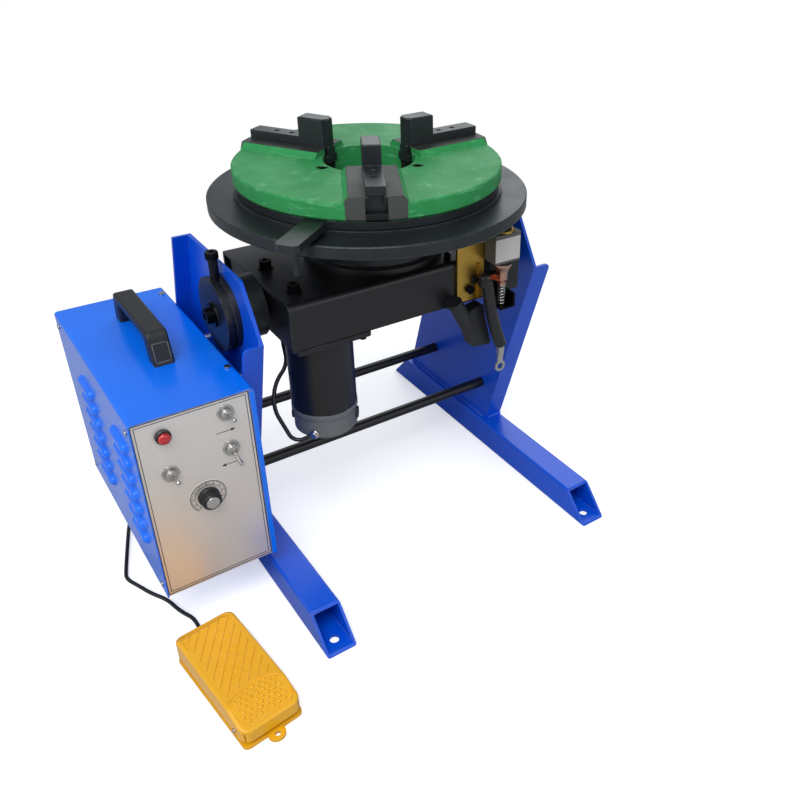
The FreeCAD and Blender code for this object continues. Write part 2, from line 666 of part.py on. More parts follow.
def control_box_chassis():
    """Floor and rear wall of the box in one folded sheet, with holes for the two glands."""
    floor = block("chassis_floor", "box_left + box_sheet", "box_front + panel_inset + box_sheet",
                  "box_bottom", "box_width - 2 * box_sheet",
                  "box_length - panel_inset - 2 * box_sheet", "box_sheet")
    wall = block("chassis_rear", "box_left + box_sheet", "box_front + box_length - box_sheet",
                 "box_bottom", "box_width - 2 * box_sheet", "box_sheet", "box_height - box_corner")
    holes = [rod("rear_hole_%d" % i, "y", x, "box_front + box_length - 5", "box_bottom + 26",
                 "6", "10") for i, x in enumerate(GLAND_PLACES)]
    node(cut("chassis", fuse("chassis_fold", floor, wall), *holes), "control_box_chassis")


GLAND_PLACES = ["box_left + 36", "box_left + 84"]


def cable_glands():
    """Two glands in the rear wall, the second one empty, and the grommet in the foot switch."""
    glands = []
    for i, x in enumerate(GLAND_PLACES):
        name = "gland_%d" % i
        wall = "box_front + box_length"
        stem = rod(name + "_stem", "y", x, wall + " - box_sheet - 8", "box_bottom + 26", "6",
                   "box_sheet + 12")
        nut = hexagon(name + "_nut", "y", x, wall, "box_bottom + 26", "17", "5")
        dome = doc.addObject("Part::Cone", name + "_dome")
        bind(dome, Radius1="7.5", Radius2="4.6", Height="9")
        dome.Placement = Placement(Vector(), Rotation(Vector(1, 0, 0), -90))
        place(dome, x, wall + " + 5", "box_bottom + 26")
        depth = "14" if i == 0 else "30"
        lead = "cord_radius" if i == 0 else "mains_lead_radius"
        bore = rod(name + "_bore", "y", x, wall + " - 12", "box_bottom + 26", lead, depth)
        glands.append(cut(name + "_cut", fuse(name + "_blank", stem, nut, dome), bore))
    grommet = rod("grommet", "y", "0", "pedal_length / 2 - 20", "9.5", "cord_radius + 2", "26")
    glands.append(on_pedal(group("grommet_place", grommet)))
    node(group("gland_set", *glands), "cable_glands")


def control_panel():
    """The bare steel front with its holes."""
    panel = body("panel_sheet")
    face = sketch(panel, "XZ_Plane", "panel_outline")
    rectangle(face, "box_sheet", "0", "box_width - box_sheet", "box_height - box_sheet")
    flat = pad(panel, face, "box_sheet", backwards=True)
    rounded(panel, flat, "box_corner - box_sheet", lambda edge, middle: abs(edge.tangentAt(0).y) > 0.9
            and middle.z > value("box_height / 2"))
    holes = sketch(panel, "XZ_Plane", "panel_holes")
    circle(holes, "left_column", "lamp_row", "lamp_radius - 2")
    for x, z in (("left_column", "foot_toggle_row"), ("right_column", "power_toggle_row"),
                 ("right_column", "direction_toggle_row")):
        circle(holes, x, z, "toggle_radius")
    circle(holes, "dial_column", "dial_row", "4")
    pocket(panel, holes, "box_sheet")
    node(place(panel, "box_left", PANEL_FACE, "box_bottom"), "control_panel")


def carry_handle():
    """A bow handle screwed on the cover."""
    handle = body("handle_bow")
    profile = sketch(handle, "YZ_Plane", "handle_side")
    outline(profile, [
        ("0", "0"), ("20", "0"), ("26", "handle_height - handle_bar"),
        ("handle_length - 26", "handle_height - handle_bar"), ("handle_length - 20", "0"),
        ("handle_length", "0"), ("handle_length - 10", "handle_height"), ("10", "handle_height"),
    ])
    bow = pad(handle, profile, "handle_width", middle=True)
    outer = rounded(handle, bow, "9", lambda edge, middle: abs(edge.tangentAt(0).x) > 0.999
                    and middle.z > value("handle_height") - 0.1)
    inner = rounded(handle, outer, "7", lambda edge, middle: abs(edge.tangentAt(0).x) > 0.999
                    and abs(middle.z - value("handle_height - handle_bar")) < 0.1)
    rounded(handle, inner, "2.5", lambda edge, middle: abs(middle.x) > value("handle_width") / 2 - 0.1
            and middle.z > 3)
    node(place(handle, "box_left + 67", "box_front + 93", BOX_TOP), "carry_handle")


def box_mounting():
    """Four bolts with spacer tubes that hang the box on the left side plate."""
    spacers = []
    bolts = []
    outside = "-" + PLATE_OUTSIDE
    for i, (y, z) in enumerate(BOX_BOLTS):
        gap = "(%s - %s)" % (outside, BOX_RIGHT)
        tube = rod("spacer_%d" % i, "x", BOX_RIGHT, y, z, "box_bolt_radius + 3", gap)
        bore = rod("spacer_bore_%d" % i, "x", BOX_RIGHT, y, z, "box_bolt_radius", gap)
        spacers.append(cut("spacer_tube_%d" % i, tube, bore))
        shank = rod("box_shank_%d" % i, "x", BOX_RIGHT + " - 8", y, z, "box_bolt_radius",
                    "8 - %s - plate_gap / 2" % BOX_RIGHT)
        head = hexagon("box_bolt_head_%d" % i, "x", "-plate_gap / 2", y, z,
                       "3.3 * box_bolt_radius", "4")
        nut = hexagon("box_bolt_nut_%d" % i, "x", BOX_RIGHT + " - box_sheet - 5", y, z,
                      "3.3 * box_bolt_radius", "5")
        bolts.append(fuse("box_bolt_%d" % i, shank, head, nut))
    node(group("box_mount_set", *spacers, *bolts), "box_mounts")


def cover_screws():
    """Two pan head screws along the right edge of the cover."""
    screws = []
    for i, y in enumerate(("52", "264")):
        base = (BOX_RIGHT + " - 7", "box_front + " + y, BOX_TOP)
        screws.append(rod("cover_screw_%d" % i, "z", base[0], base[1], base[2], "3.6", "2"))
    node(group("cover_screw_set", *screws), "cover_screws")


def turned_part(name, corners):
    """A body turned about its own Z axis from a half outline of (radius, height) corners."""
    part = body(name)
    half = sketch(part, "XZ_Plane", name + "_half")
    outline(half, corners)
    turned(part, half)
    return part


def facing_front(part, x, z, y=PANEL_FACE, lean=0):
    """Turn a part made along +Z to point out of the panel, leaning down by some degrees."""
    part.Placement = Placement(Vector(), Rotation(Vector(1, 0, 0), 90 + lean))
    return place(part, x, y, z)


def panel_fittings():
    """Pilot lamp, toggle switches, speed dial, knob and the pot behind it."""
    lamp = turned_part("lamp_turned", [
        ("0", "-14"), ("lamp_radius - 2", "-14"), ("lamp_radius - 2", "0"), ("lamp_radius", "0"),
        ("lamp_radius", "3"), ("lamp_radius - 1.5", "4.5"), ("lamp_radius - 3", "4.5"),
        ("lamp_radius - 3.4", "6.5"), ("lamp_radius - 5.5", "8"), ("0", "8.6"),
    ])
    node(facing_front(lamp, "box_left + left_column", "box_bottom + lamp_row"), "pilot_lamp")
    toggles = (("foot", "left_column", "foot_toggle_row", -1),
               ("power", "right_column", "power_toggle_row", -1),
               ("direction", "right_column", "direction_toggle_row", 1))
    bushes = []
    for name, column, row, lean in toggles:
        x = "box_left + " + column
        z = "box_bottom + " + row
        bush = rod(name + "_bush", "y", x, PANEL_FACE + " - 8", z, "toggle_radius", "8 + box_sheet")
        nut = hexagon(name + "_bush_nut", "y", x, PANEL_FACE + " - 3", z, "2.9 * toggle_radius", "3")
        case = block(name + "_case", x + " - 7", PANEL_FACE + " + box_sheet", z + " - 13",
                     "14", "22", "26")
        hole = rod(name + "_bush_hole", "y", x, PANEL_FACE + " - 9", z, "3.6", "9")
        bushes.append(cut(name + "_switch", fuse(name + "_blank", bush, nut, case), hole))
        bat = turned_part(name + "_bat", [
            ("0", "-2.5"), ("1.4", "-2"), ("1.5", "6"), ("2.3", "8 + toggle_lever_length - 3"),
            ("2.2", "8 + toggle_lever_length - 1"), ("1.2", "8 + toggle_lever_length"),
            ("0", "8 + toggle_lever_length"),
        ])
        pivot = rod(name + "_pivot", "x", "-2.6", "0", "0", "1.9", "5.2")
        lever = fuse(name + "_lever", bat, pivot)
        facing_front(lever, x, z, PANEL_FACE + " - 3", lean * value("toggle_tilt"))
        lever.setExpression("Placement.Rotation.Angle", formula("90 + %d * toggle_tilt" % lean))
        node(lever, name + "_toggle")
    dial = turned_part("dial_turned", [("4.5", "0"), ("dial_radius", "0"), ("dial_radius", "0.8"),
                                       ("4.5", "0.8")])
    node(facing_front(dial, "box_left + dial_column", "box_bottom + dial_row"), "speed_dial")
    knob = turned_part("knob_turned", [
        ("0", "-13"), ("3", "-13"), ("3", "1.5"), ("knob_radius", "1.5"), ("knob_radius", "4"),
        ("knob_radius - 1.5", "5.5"), ("knob_radius - 2", "knob_height - 1.5"),
        ("knob_radius - 3.5", "knob_height"), ("0", "knob_height"),
    ])
    node(facing_front(knob, "box_left + dial_column", "box_bottom + dial_row"), "speed_knob")
    pot = turned_part("pot_turned", [
        ("3.05", "-16"), ("12", "-16"), ("12", "-4"), ("4", "-4"), ("4", "0"), ("3.05", "0")])
    facing_front(pot, "box_left + dial_column", "box_bottom + dial_row")
    node(group("switchgear", *bushes, pot), "panel_switches")


def controller():
    """The speed controller on the box floor: board, transformer and heat sink."""
    base_z = "box_bottom + box_sheet"
    parts = []
    for i, (x, y) in enumerate((("22", "70"), ("98", "70"), ("22", "220"), ("98", "220"))):
        parts.append(rod("standoff_%d" % i, "z", "box_left + " + x, "box_front + " + y, base_z,
                         "3", "8"))
    parts.append(block("board", "box_left + 16", "box_front + 60", base_z + " + 8", "88", "170", "1.6"))
    parts.append(block("transformer", "box_left + 30", "box_front + 150", base_z + " + 9.6",
                       "56", "48", "46"))
    for i in range(6):
        parts.append(block("fin_%d" % i, "box_left + %d" % (30 + 10 * i), "box_front + 72",
                           base_z + " + 9.6", "2.5", "50", "34"))
    node(fuse("controller_blank", *parts), "speed_controller")


# ---------------------------------------------------------------- foot switch

PEDAL_PIN_Y = "-56"
PEDAL_PIN_Z = "15"


def on_pedal(thing):
    """Move a part made in the foot switch's own frame to where it lies on the floor."""
    thing.Placement = Placement(Vector(), Rotation(Vector(0, 0, 1), value("pedal_turn")))
    thing.setExpression("Placement.Rotation.Angle", formula("pedal_turn"))
    return place(thing, "pedal_place_x", "pedal_place_y", "0")


def foot_switch():
    """A cast tray, a sloping pedal that rocks on a pin near its front, and what is between."""
    tray = body("tray_casting")
    rim = sketch(tray, "XY_Plane", "tray_outline")
    half = "(pedal_width / 2 - pedal_wall - 1.6)"
    rectangle(rim, "-" + half, "8 - pedal_length / 2", half, "pedal_length / 2 - 6")
    wall = pad(tray, rim, "20")
    rounded(tray, wall, "5", upright)
    hollow = sketch(tray, "XY_Plane", "tray_hollow", "20")
    rectangle(hollow, "2.5 - " + half, "10.5 - pedal_length / 2", half + " - 2.5",
              "pedal_length / 2 - 8.5")
    pocket(tray, hollow, "17")
    skirt = sketch(tray, "XY_Plane", "tray_skirt")
    rectangle(skirt, "-pedal_width / 2", "-pedal_length / 2", "pedal_width / 2", "pedal_length / 2")
    lip = pad(tray, skirt, "4")
    rounded(tray, lip, "6", lambda edge, middle: upright(edge, middle) and middle.z < 4
                        and abs(middle.x) > value("pedal_width") / 2 - 0.1)
    ear = sketch(tray, "XY_Plane", "tray_ear")
    circle(ear, "0", "-pedal_length / 2 - 3", "9")
    pad(tray, ear, "4")
    bolt = sketch(tray, "XY_Plane", "tray_ear_hole", "4")
    circle(bolt, "0", "-pedal_length / 2 - 5", "3")
    pocket(tray, bolt, "4")
    pin_hole = sketch(tray, "YZ_Plane", "tray_pin_hole")
    circle(pin_hole, PEDAL_PIN_Y, PEDAL_PIN_Z, "2.5")
    pocket(tray, pin_hole, "pedal_width", middle=True)
    entry = sketch(tray, "XZ_Plane", "tray_cord_entry")
    circle(entry, "0", "9.5", "cord_radius + 2")
    pocket(tray, entry, "pedal_length")
    node(on_pedal(tray), "foot_switch_base")

    pedal = body("pedal_casting")
    side = sketch(pedal, "YZ_Plane", "pedal_side")
    outline(side, [
        ("-pedal_length / 2", "9"), ("pedal_length / 2", "13"),
        ("pedal_length / 2", "pedal_height - 6"), ("pedal_length / 2 - 12", "pedal_height"),
        ("-pedal_length / 2 + 30", "pedal_height - 4"), ("-pedal_length / 2", "pedal_height - 14"),
    ])
    top = pad(pedal, side, "pedal_width", middle=True)
    corners = rounded(pedal, top, "10", upright)
    rounded(pedal, corners, "3", lambda edge, middle: middle.z > value("pedal_height - 15"))
    under = sketch(pedal, "YZ_Plane", "pedal_under")
    outline(under, [
        ("-pedal_length / 2 + pedal_wall", "0"), ("pedal_length / 2 - pedal_wall", "0"),
        ("pedal_length / 2 - pedal_wall", "pedal_height - 6 - pedal_wall"),
        ("pedal_length / 2 - 12 - pedal_wall", "pedal_height - pedal_wall - 1"),
        ("-pedal_length / 2 + 30", "pedal_height - 4 - pedal_wall - 1"),
        ("-pedal_length / 2 + pedal_wall", "pedal_height - 14 - pedal_wall"),
    ])
    pocket(pedal, under, "pedal_width - 2 * pedal_wall", middle=True)
    pin_way = sketch(pedal, "YZ_Plane", "pedal_pin_hole")
    circle(pin_way, PEDAL_PIN_Y, PEDAL_PIN_Z, "2.5 + running_clearance")
    pocket(pedal, pin_way, "pedal_width", middle=True)
    notch = sketch(pedal, "XZ_Plane", "pedal_cord_notch", "-pedal_length / 2 - 1")
    rectangle(notch, "-8", "0", "8", "24")
    pocket(pedal, notch, "8", backwards=True)
    node(on_pedal(pedal), "foot_pedal")

    pin = rod("pedal_pin", "x", "-pedal_width / 2 - 2", PEDAL_PIN_Y, PEDAL_PIN_Z, "2.5",
              "pedal_width + 4")
    node(on_pedal(group("pedal_pin_place", pin)), "pedal_hinge_pin")
    outer = rod("pedal_spring_outside", "z", "0", "30", "4", "7", "pedal_height - pedal_wall - 7")
    inner = rod("pedal_spring_inside", "z", "0", "30", "4", "5.4", "pedal_height - pedal_wall - 7")
    node(on_pedal(cut("pedal_spring_coil", outer, inner)), "pedal_spring")


def foot_cord():
    """The cord from the box's rear gland, through a coil on the floor, to the foot switch."""
    exit_point = Vector(value(GLAND_PLACES[0]), value("box_front + box_length + 14"),
                        value("box_bottom + 26"))
    coil = Vector(value("coil_x"), value("coil_y"), value("cord_radius + 0.1"))
    left_side = coil.x - value("coil_radius")
    drop = exit_point.z - coil.z
    rear = [exit_point, exit_point + Vector(0, 28, -2), exit_point + Vector(-1, 54, -0.27 * drop),
            exit_point + Vector(-3, 60, -0.57 * drop), exit_point + Vector(-6, 48, -0.85 * drop),
            Vector(left_side + 1, exit_point.y + 25, coil.z + 1.5),
            Vector(left_side, coil.y + 28, coil.z)]
    turn = math.radians(value("pedal_turn"))
    pedal = Vector(value("pedal_place_x"), value("pedal_place_y"), 0)
    reach = value("pedal_length / 2 + 6")
    entry = pedal + Vector(-reach * math.sin(turn), reach * math.cos(turn), 9.5)
    front = [Vector(left_side, coil.y - 24, coil.z)]
    front += [Vector(x, y, coil.z) for x, y in (
        (-306, 117), (-315, 108), (-331, 61), (-346, 16), (-349, 3), (-340, -18), (-332, -38),
        (-320, -58), (-314, -85))]
    front += [entry + Vector(5, 30, -5), entry]
    tubes = [solid("foot_cord_" + name, route(points, value("cord_radius")))
             for name, points in (("rear", rear), ("front", front))]
    node(group("foot_cord_pair", *tubes), "foot_cord")
    outside = rod("coil_outside", "z", "coil_x", "coil_y", "0.1", "coil_radius + 4 * cord_radius",
                  "3.75 * cord_radius")
    inside = rod("coil_inside", "z", "coil_x", "coil_y", "0.1", "coil_radius - 4 * cord_radius",
                 "3.75 * cord_radius")
    node(cut("coil", outside, inside), "foot_cord_coil")


# ---------------------------------------------------------------- tilting head

TOP_SCREW_PLACES = ["-59", "14"]


def housing_channel():
    """A folded channel, open below and at its ends."""
    channel = body("channel_sheet")
    profile = sketch(channel, "YZ_Plane", "channel_profile")
    half = "housing_width / 2"
    deep = "housing_depth / 2"
    outline(profile, [
        ("-" + half, "-" + deep), ("housing_sheet - " + half, "-" + deep),
        ("housing_sheet - " + half, deep + " - housing_sheet"),
        (half + " - housing_sheet", deep + " - housing_sheet"),
        (half + " - housing_sheet", "-" + deep), (half, "-" + deep), (half, deep), ("-" + half, deep),
    ])
    shell = pad(channel, profile, "housing_length", middle=True)
    outer = rounded(channel, shell, "housing_bend",
                    lambda edge, middle: abs(edge.tangentAt(0).x) > 0.999
                    and middle.z > value("housing_depth / 2") - 0.1)
    rounded(channel, outer, "housing_bend - housing_sheet",
            lambda edge, middle: abs(edge.tangentAt(0).x) > 0.999
            and abs(middle.z - value("housing_depth / 2 - housing_sheet")) < 0.1
            and abs(abs(middle.y) - value("housing_width / 2 - housing_sheet")) < 0.1)
    holes = sketch(channel, "XY_Plane", "channel_holes", "housing_depth / 2")
    circle(holes, "0", "0", "bearing_outside / 2 - 6")
    for x in ("-", ""):
        for y in TOP_SCREW_PLACES:
            circle(holes, x + "(housing_length / 2 - 21)", y, "4")
    pocket(channel, holes, "housing_sheet")
    node(place(channel, "0", "head_shift", "pivot_height + housing_rise"), "housing_channel")


def housing_plates():
    """An angle bracket in each end of the channel, and the plate that carries the motor."""
    brackets = [motor_plate()]
    for name, side in (("left", -1), ("right", 1)):
        bracket = body(name + "_end_angle")
        profile = sketch(bracket, "XZ_Plane", name + "_end_profile")
        low = "housing_rise - housing_depth / 2"
        top = "housing_rise + housing_depth / 2 - housing_sheet"
        outline(profile, [
            ("%d * -end_plate" % side, low), ("0", low), ("0", top),
            ("%d * -44" % side, top), ("%d * -44" % side, top + " - end_plate"),
            ("%d * -end_plate" % side, top + " - end_plate"),
        ])
        pad(bracket, profile, "housing_width - 2 * housing_bend", middle=True)
        holes = sketch(bracket, "XY_Plane", name + "_end_holes", top)
        for y in TOP_SCREW_PLACES:
            circle(holes, "%d * (end_recess - 21)" % side, y, "4")
        pocket(bracket, holes, "end_plate")
        bore = sketch(bracket, "YZ_Plane", name + "_end_bore")
        circle(bore, "0", "0", "pivot_radius")
        pocket(bracket, bore, "end_plate + 1", backwards=side < 0)
        brackets.append(place(bracket, "%d * (housing_length / 2 - end_recess)" % side, "head_shift",
                              "pivot_height"))
    node(group("housing_plate_set", *brackets), "housing_plates")


def trunnions():
    """The two pins that the head tilts on, each with a shoulder between bracket and plate."""
    shoulder = "plate_gap / 2 - housing_length / 2 + end_recess - 0.4"
    pins = []
    for name, side in (("left", -1), ("right", 1)):
        pin = turned_part(name + "_trunnion", [
            ("0", "-end_plate"), ("pivot_radius", "-end_plate"), ("pivot_radius", "end_recess + 0.3"),
            ("trunnion_boss", "end_recess + 0.3"),
            ("trunnion_boss", shoulder), ("pivot_radius", shoulder),
            ("pivot_radius", shoulder + " + plate_thickness + lock_hub_thickness + 0.7"),
            ("0", shoulder + " + plate_thickness + lock_hub_thickness + 0.7"),
        ])
        pin.Placement = Placement(Vector(), Rotation(Vector(0, 1, 0), 90 * side))
        pins.append(place(pin, "%d * (housing_length / 2 - end_recess)" % side, "head_shift", "pivot_height"))
    node(group("trunnion_pair", *pins), "trunnions")


def head_screws(bracket_bolt):
    """Cap screws through the channel's top, one in each trunnion's end, and the bracket's bolt."""
    screws = [bracket_bolt]
    for i in range(4):
        place_x = "%d * (housing_length / 2 - 21)" % (-1 if i < 2 else 1)
        place_y = "head_shift + " + TOP_SCREW_PLACES[i % 2]
        washer = rod("top_washer_%d" % i, "z", place_x, place_y, HOUSING_TOP, "8.5", "1.6")
        cap = rod("top_cap_%d" % i, "z", place_x, place_y, HOUSING_TOP + " + 1.6", "6.5", "8")
        shank = rod("top_shank_%d" % i, "z", place_x, place_y,
                    HOUSING_TOP + " - housing_sheet - end_plate", "4",
                    "housing_sheet + end_plate + 2")
        socket = hexagon("top_socket_%d" % i, "z", place_x, place_y, HOUSING_TOP + " + 5.6", "6", "4")
        screws.append(cut("top_screw_%d" % i, fuse("top_screw_blank_%d" % i, washer, cap, shank),
                          socket))
    face = "(%s + lock_hub_thickness + 0.3)" % PLATE_OUTSIDE
    for name, side in (("left", -1), ("right", 1)):
        washer_x = "-%s - 2.5" % face if side < 0 else face
        cap_x = "-%s - 9.5" % face if side < 0 else face + " + 2.5"
        socket_x = "-%s - 9.5" % face if side < 0 else face + " + 5.5"
        washer = rod(name + "_end_washer", "x", washer_x, "head_shift", "pivot_height", "14", "2.5")
        cap = rod(name + "_end_cap", "x", cap_x, "head_shift", "pivot_height", "9", "7")
        socket = hexagon(name + "_end_socket", "x", socket_x, "head_shift", "pivot_height", "8", "4")
        screws.append(cut(name + "_end_screw", fuse(name + "_end_blank", washer, cap), socket))
    node(group("head_screw_set", *screws), "head_screws")


def spindle_hub():
    """The bearing hub on the channel, and the two ball bearings in it."""
    height = "(%s - %s)" % (HUB_TOP, HOUSING_TOP)
    seat = "bearing_outside / 2"
    hub = turned_part("hub_turned", [
        (seat, "0"), ("hub_radius + 4", "0"), ("hub_radius + 4", "6"), ("hub_radius", "10"),
        ("hub_radius", height + " - 2"), ("hub_radius - 2", height), (seat, height),
        (seat, height + " - bearing_width"), (seat + " - 4", height + " - bearing_width"),
        (seat + " - 4", "bearing_width"), (seat, "bearing_width"),
    ])
    node(place(hub, "0", "head_shift", HOUSING_TOP), "spindle_hub")
    rings = []
    for name, z in (("lower", HOUSING_TOP), ("upper", HUB_TOP + " - bearing_width")):
        outside = rod(name + "_bearing", "z", "0", "head_shift", z, seat, "bearing_width")
        inside = rod(name + "_bearing_bore", "z", "0", "head_shift", z,
                     "bearing_bore / 2 + running_clearance", "bearing_width")
        rings.append(cut(name + "_bearing_ring", outside, inside))
    node(group("bearing_pair", *rings), "spindle_bearings")


def gear(name, teeth, width, bore):
    """A spur gear with straight flanks, made by cutting one gap and turning it round the blank."""
    wheel = body(name)
    pitch = "%s * gear_module / 2" % teeth
    blank = sketch(wheel, "XY_Plane", name + "_blank")
    circle(blank, "0", "0", pitch + " + 0.9 * gear_module")
    if bore is not None:
        circle(blank, "0", "0", bore)
    pad(wheel, blank, width)
    gap = sketch(wheel, "XY_Plane", name + "_gap", width)
    half = "(pi * gear_module / 4 + gear_backlash / 2)"
    root = "(%s - 1.25 * gear_module)" % pitch
    tip = "(%s + 1.5 * gear_module)" % pitch
    narrow = "(%s - 1.25 * gear_module * tan(20))" % half
    wide = "(%s + 1.5 * gear_module * tan(20))" % half
    outline(gap, [(root, "-" + narrow), (tip, "-" + wide), (tip, wide), (root, narrow)])
    one = pocket(wheel, gap, width)
    ring_of(wheel, [one], teeth)
    return wheel


def drive():
    """Motor under the channel, its pinion, and the wheel on the spindle."""
    line = "(270 - motor_angle)"
    wheel = gear("wheel_cut", "wheel_teeth", "gear_width", "bearing_bore / 2")
    place(wheel, "0", "head_shift", GEAR_BOTTOM, (0, 0, 1), line)
    node(wheel, "drive_wheel")
    motor_x = "-motor_offset"
    pinion = gear("pinion_cut", "pinion_teeth", "gear_width", None)
    shaft = sketch(pinion, "XY_Plane", "pinion_shaft")
    circle(shaft, "0", "0", "motor_shaft_radius")
    pad(pinion, shaft, "24 + motor_flange_thickness", backwards=True)
    pinion.Placement = Placement()
    place(pinion, motor_x, MOTOR_Y, GEAR_BOTTOM, (0, 0, 1),
          line + " - 180 + 180 / pinion_teeth")
    node(pinion, "motor_pinion")

    motor()


def motor_plate():
    """A plate between the channel's sides, with a hole for the motor's shaft."""
    left = "(end_recess + end_plate - housing_length / 2)"
    plate = block("motor_plate_blank", left,
                  "head_shift - housing_width / 2 + housing_sheet", HOUSING_BOTTOM,
                  "motor_flange_width / 2 - motor_offset - " + left,
                  "housing_width - 2 * housing_sheet", "5")
    plate_hole = rod("motor_plate_hole", "z", "-motor_offset", MOTOR_Y, HOUSING_BOTTOM, "8", "5")
    return cut("motor_plate_cut", plate, plate_hole)


def motor():
    """The gear motor: a square flange, a round can, an end cap and its cable."""
    motor_x = "-motor_offset"
    square = body("motor_flange_body")
    flat = sketch(square, "XY_Plane", "motor_flange_outline")
    half = "motor_flange_width / 2"
    rectangle(flat, "-" + half, "-" + half, half, half)
    slab = pad(square, flat, "motor_flange_thickness")
    rounded(square, slab, "5", upright)
    bore = sketch(square, "XY_Plane", "motor_flange_bore", "motor_flange_thickness")
    circle(bore, "0", "0", "motor_shaft_radius + running_clearance")
    pocket(square, bore, "motor_flange_thickness")
    node(place(square, motor_x, MOTOR_Y, HOUSING_BOTTOM + " - motor_flange_thickness"), "motor_flange")

    can = turned_part("motor_can_turned", [
        ("8", "0"), ("motor_radius", "0"), ("motor_radius", "motor_length"), ("8", "motor_length"),
    ])
    can_bottom = "(%s - motor_flange_thickness - motor_length)" % HOUSING_BOTTOM
    node(place(can, motor_x, MOTOR_Y, can_bottom), "motor_can")
    cap = turned_part("motor_cap_turned", [
        ("0", "0"), ("motor_radius - 5", "0"), ("motor_radius - 1", "4"),
        ("motor_radius - 1", "motor_cap_length - 6"), ("motor_radius + 0.6", "motor_cap_length - 6"),
        ("motor_radius + 0.6", "motor_cap_length"), ("0", "motor_cap_length"),
    ])
    place(cap, motor_x, MOTOR_Y, can_bottom + " - motor_cap_length")
    node(cap, "motor_end_cap")
    base = Vector(value(motor_x), value(MOTOR_Y), value(can_bottom))
    path = [base + Vector(*step) for step in (
        (-26, -24.5, -26), (-49, -14.5, -36), (-61, 6, 5), (-51, 20, 28), (-28, 31, 43),
        (-29, 36, 69))]
    path.append(Vector(base.x - 29, base.y + 35, value(HOUSING_BOTTOM + " - motor_flange_thickness")))
    node(solid("motor_cable_tube", route(path, value("motor_cable_radius"))), "motor_cable")


# ---------------------------------------------------------------- earth brush

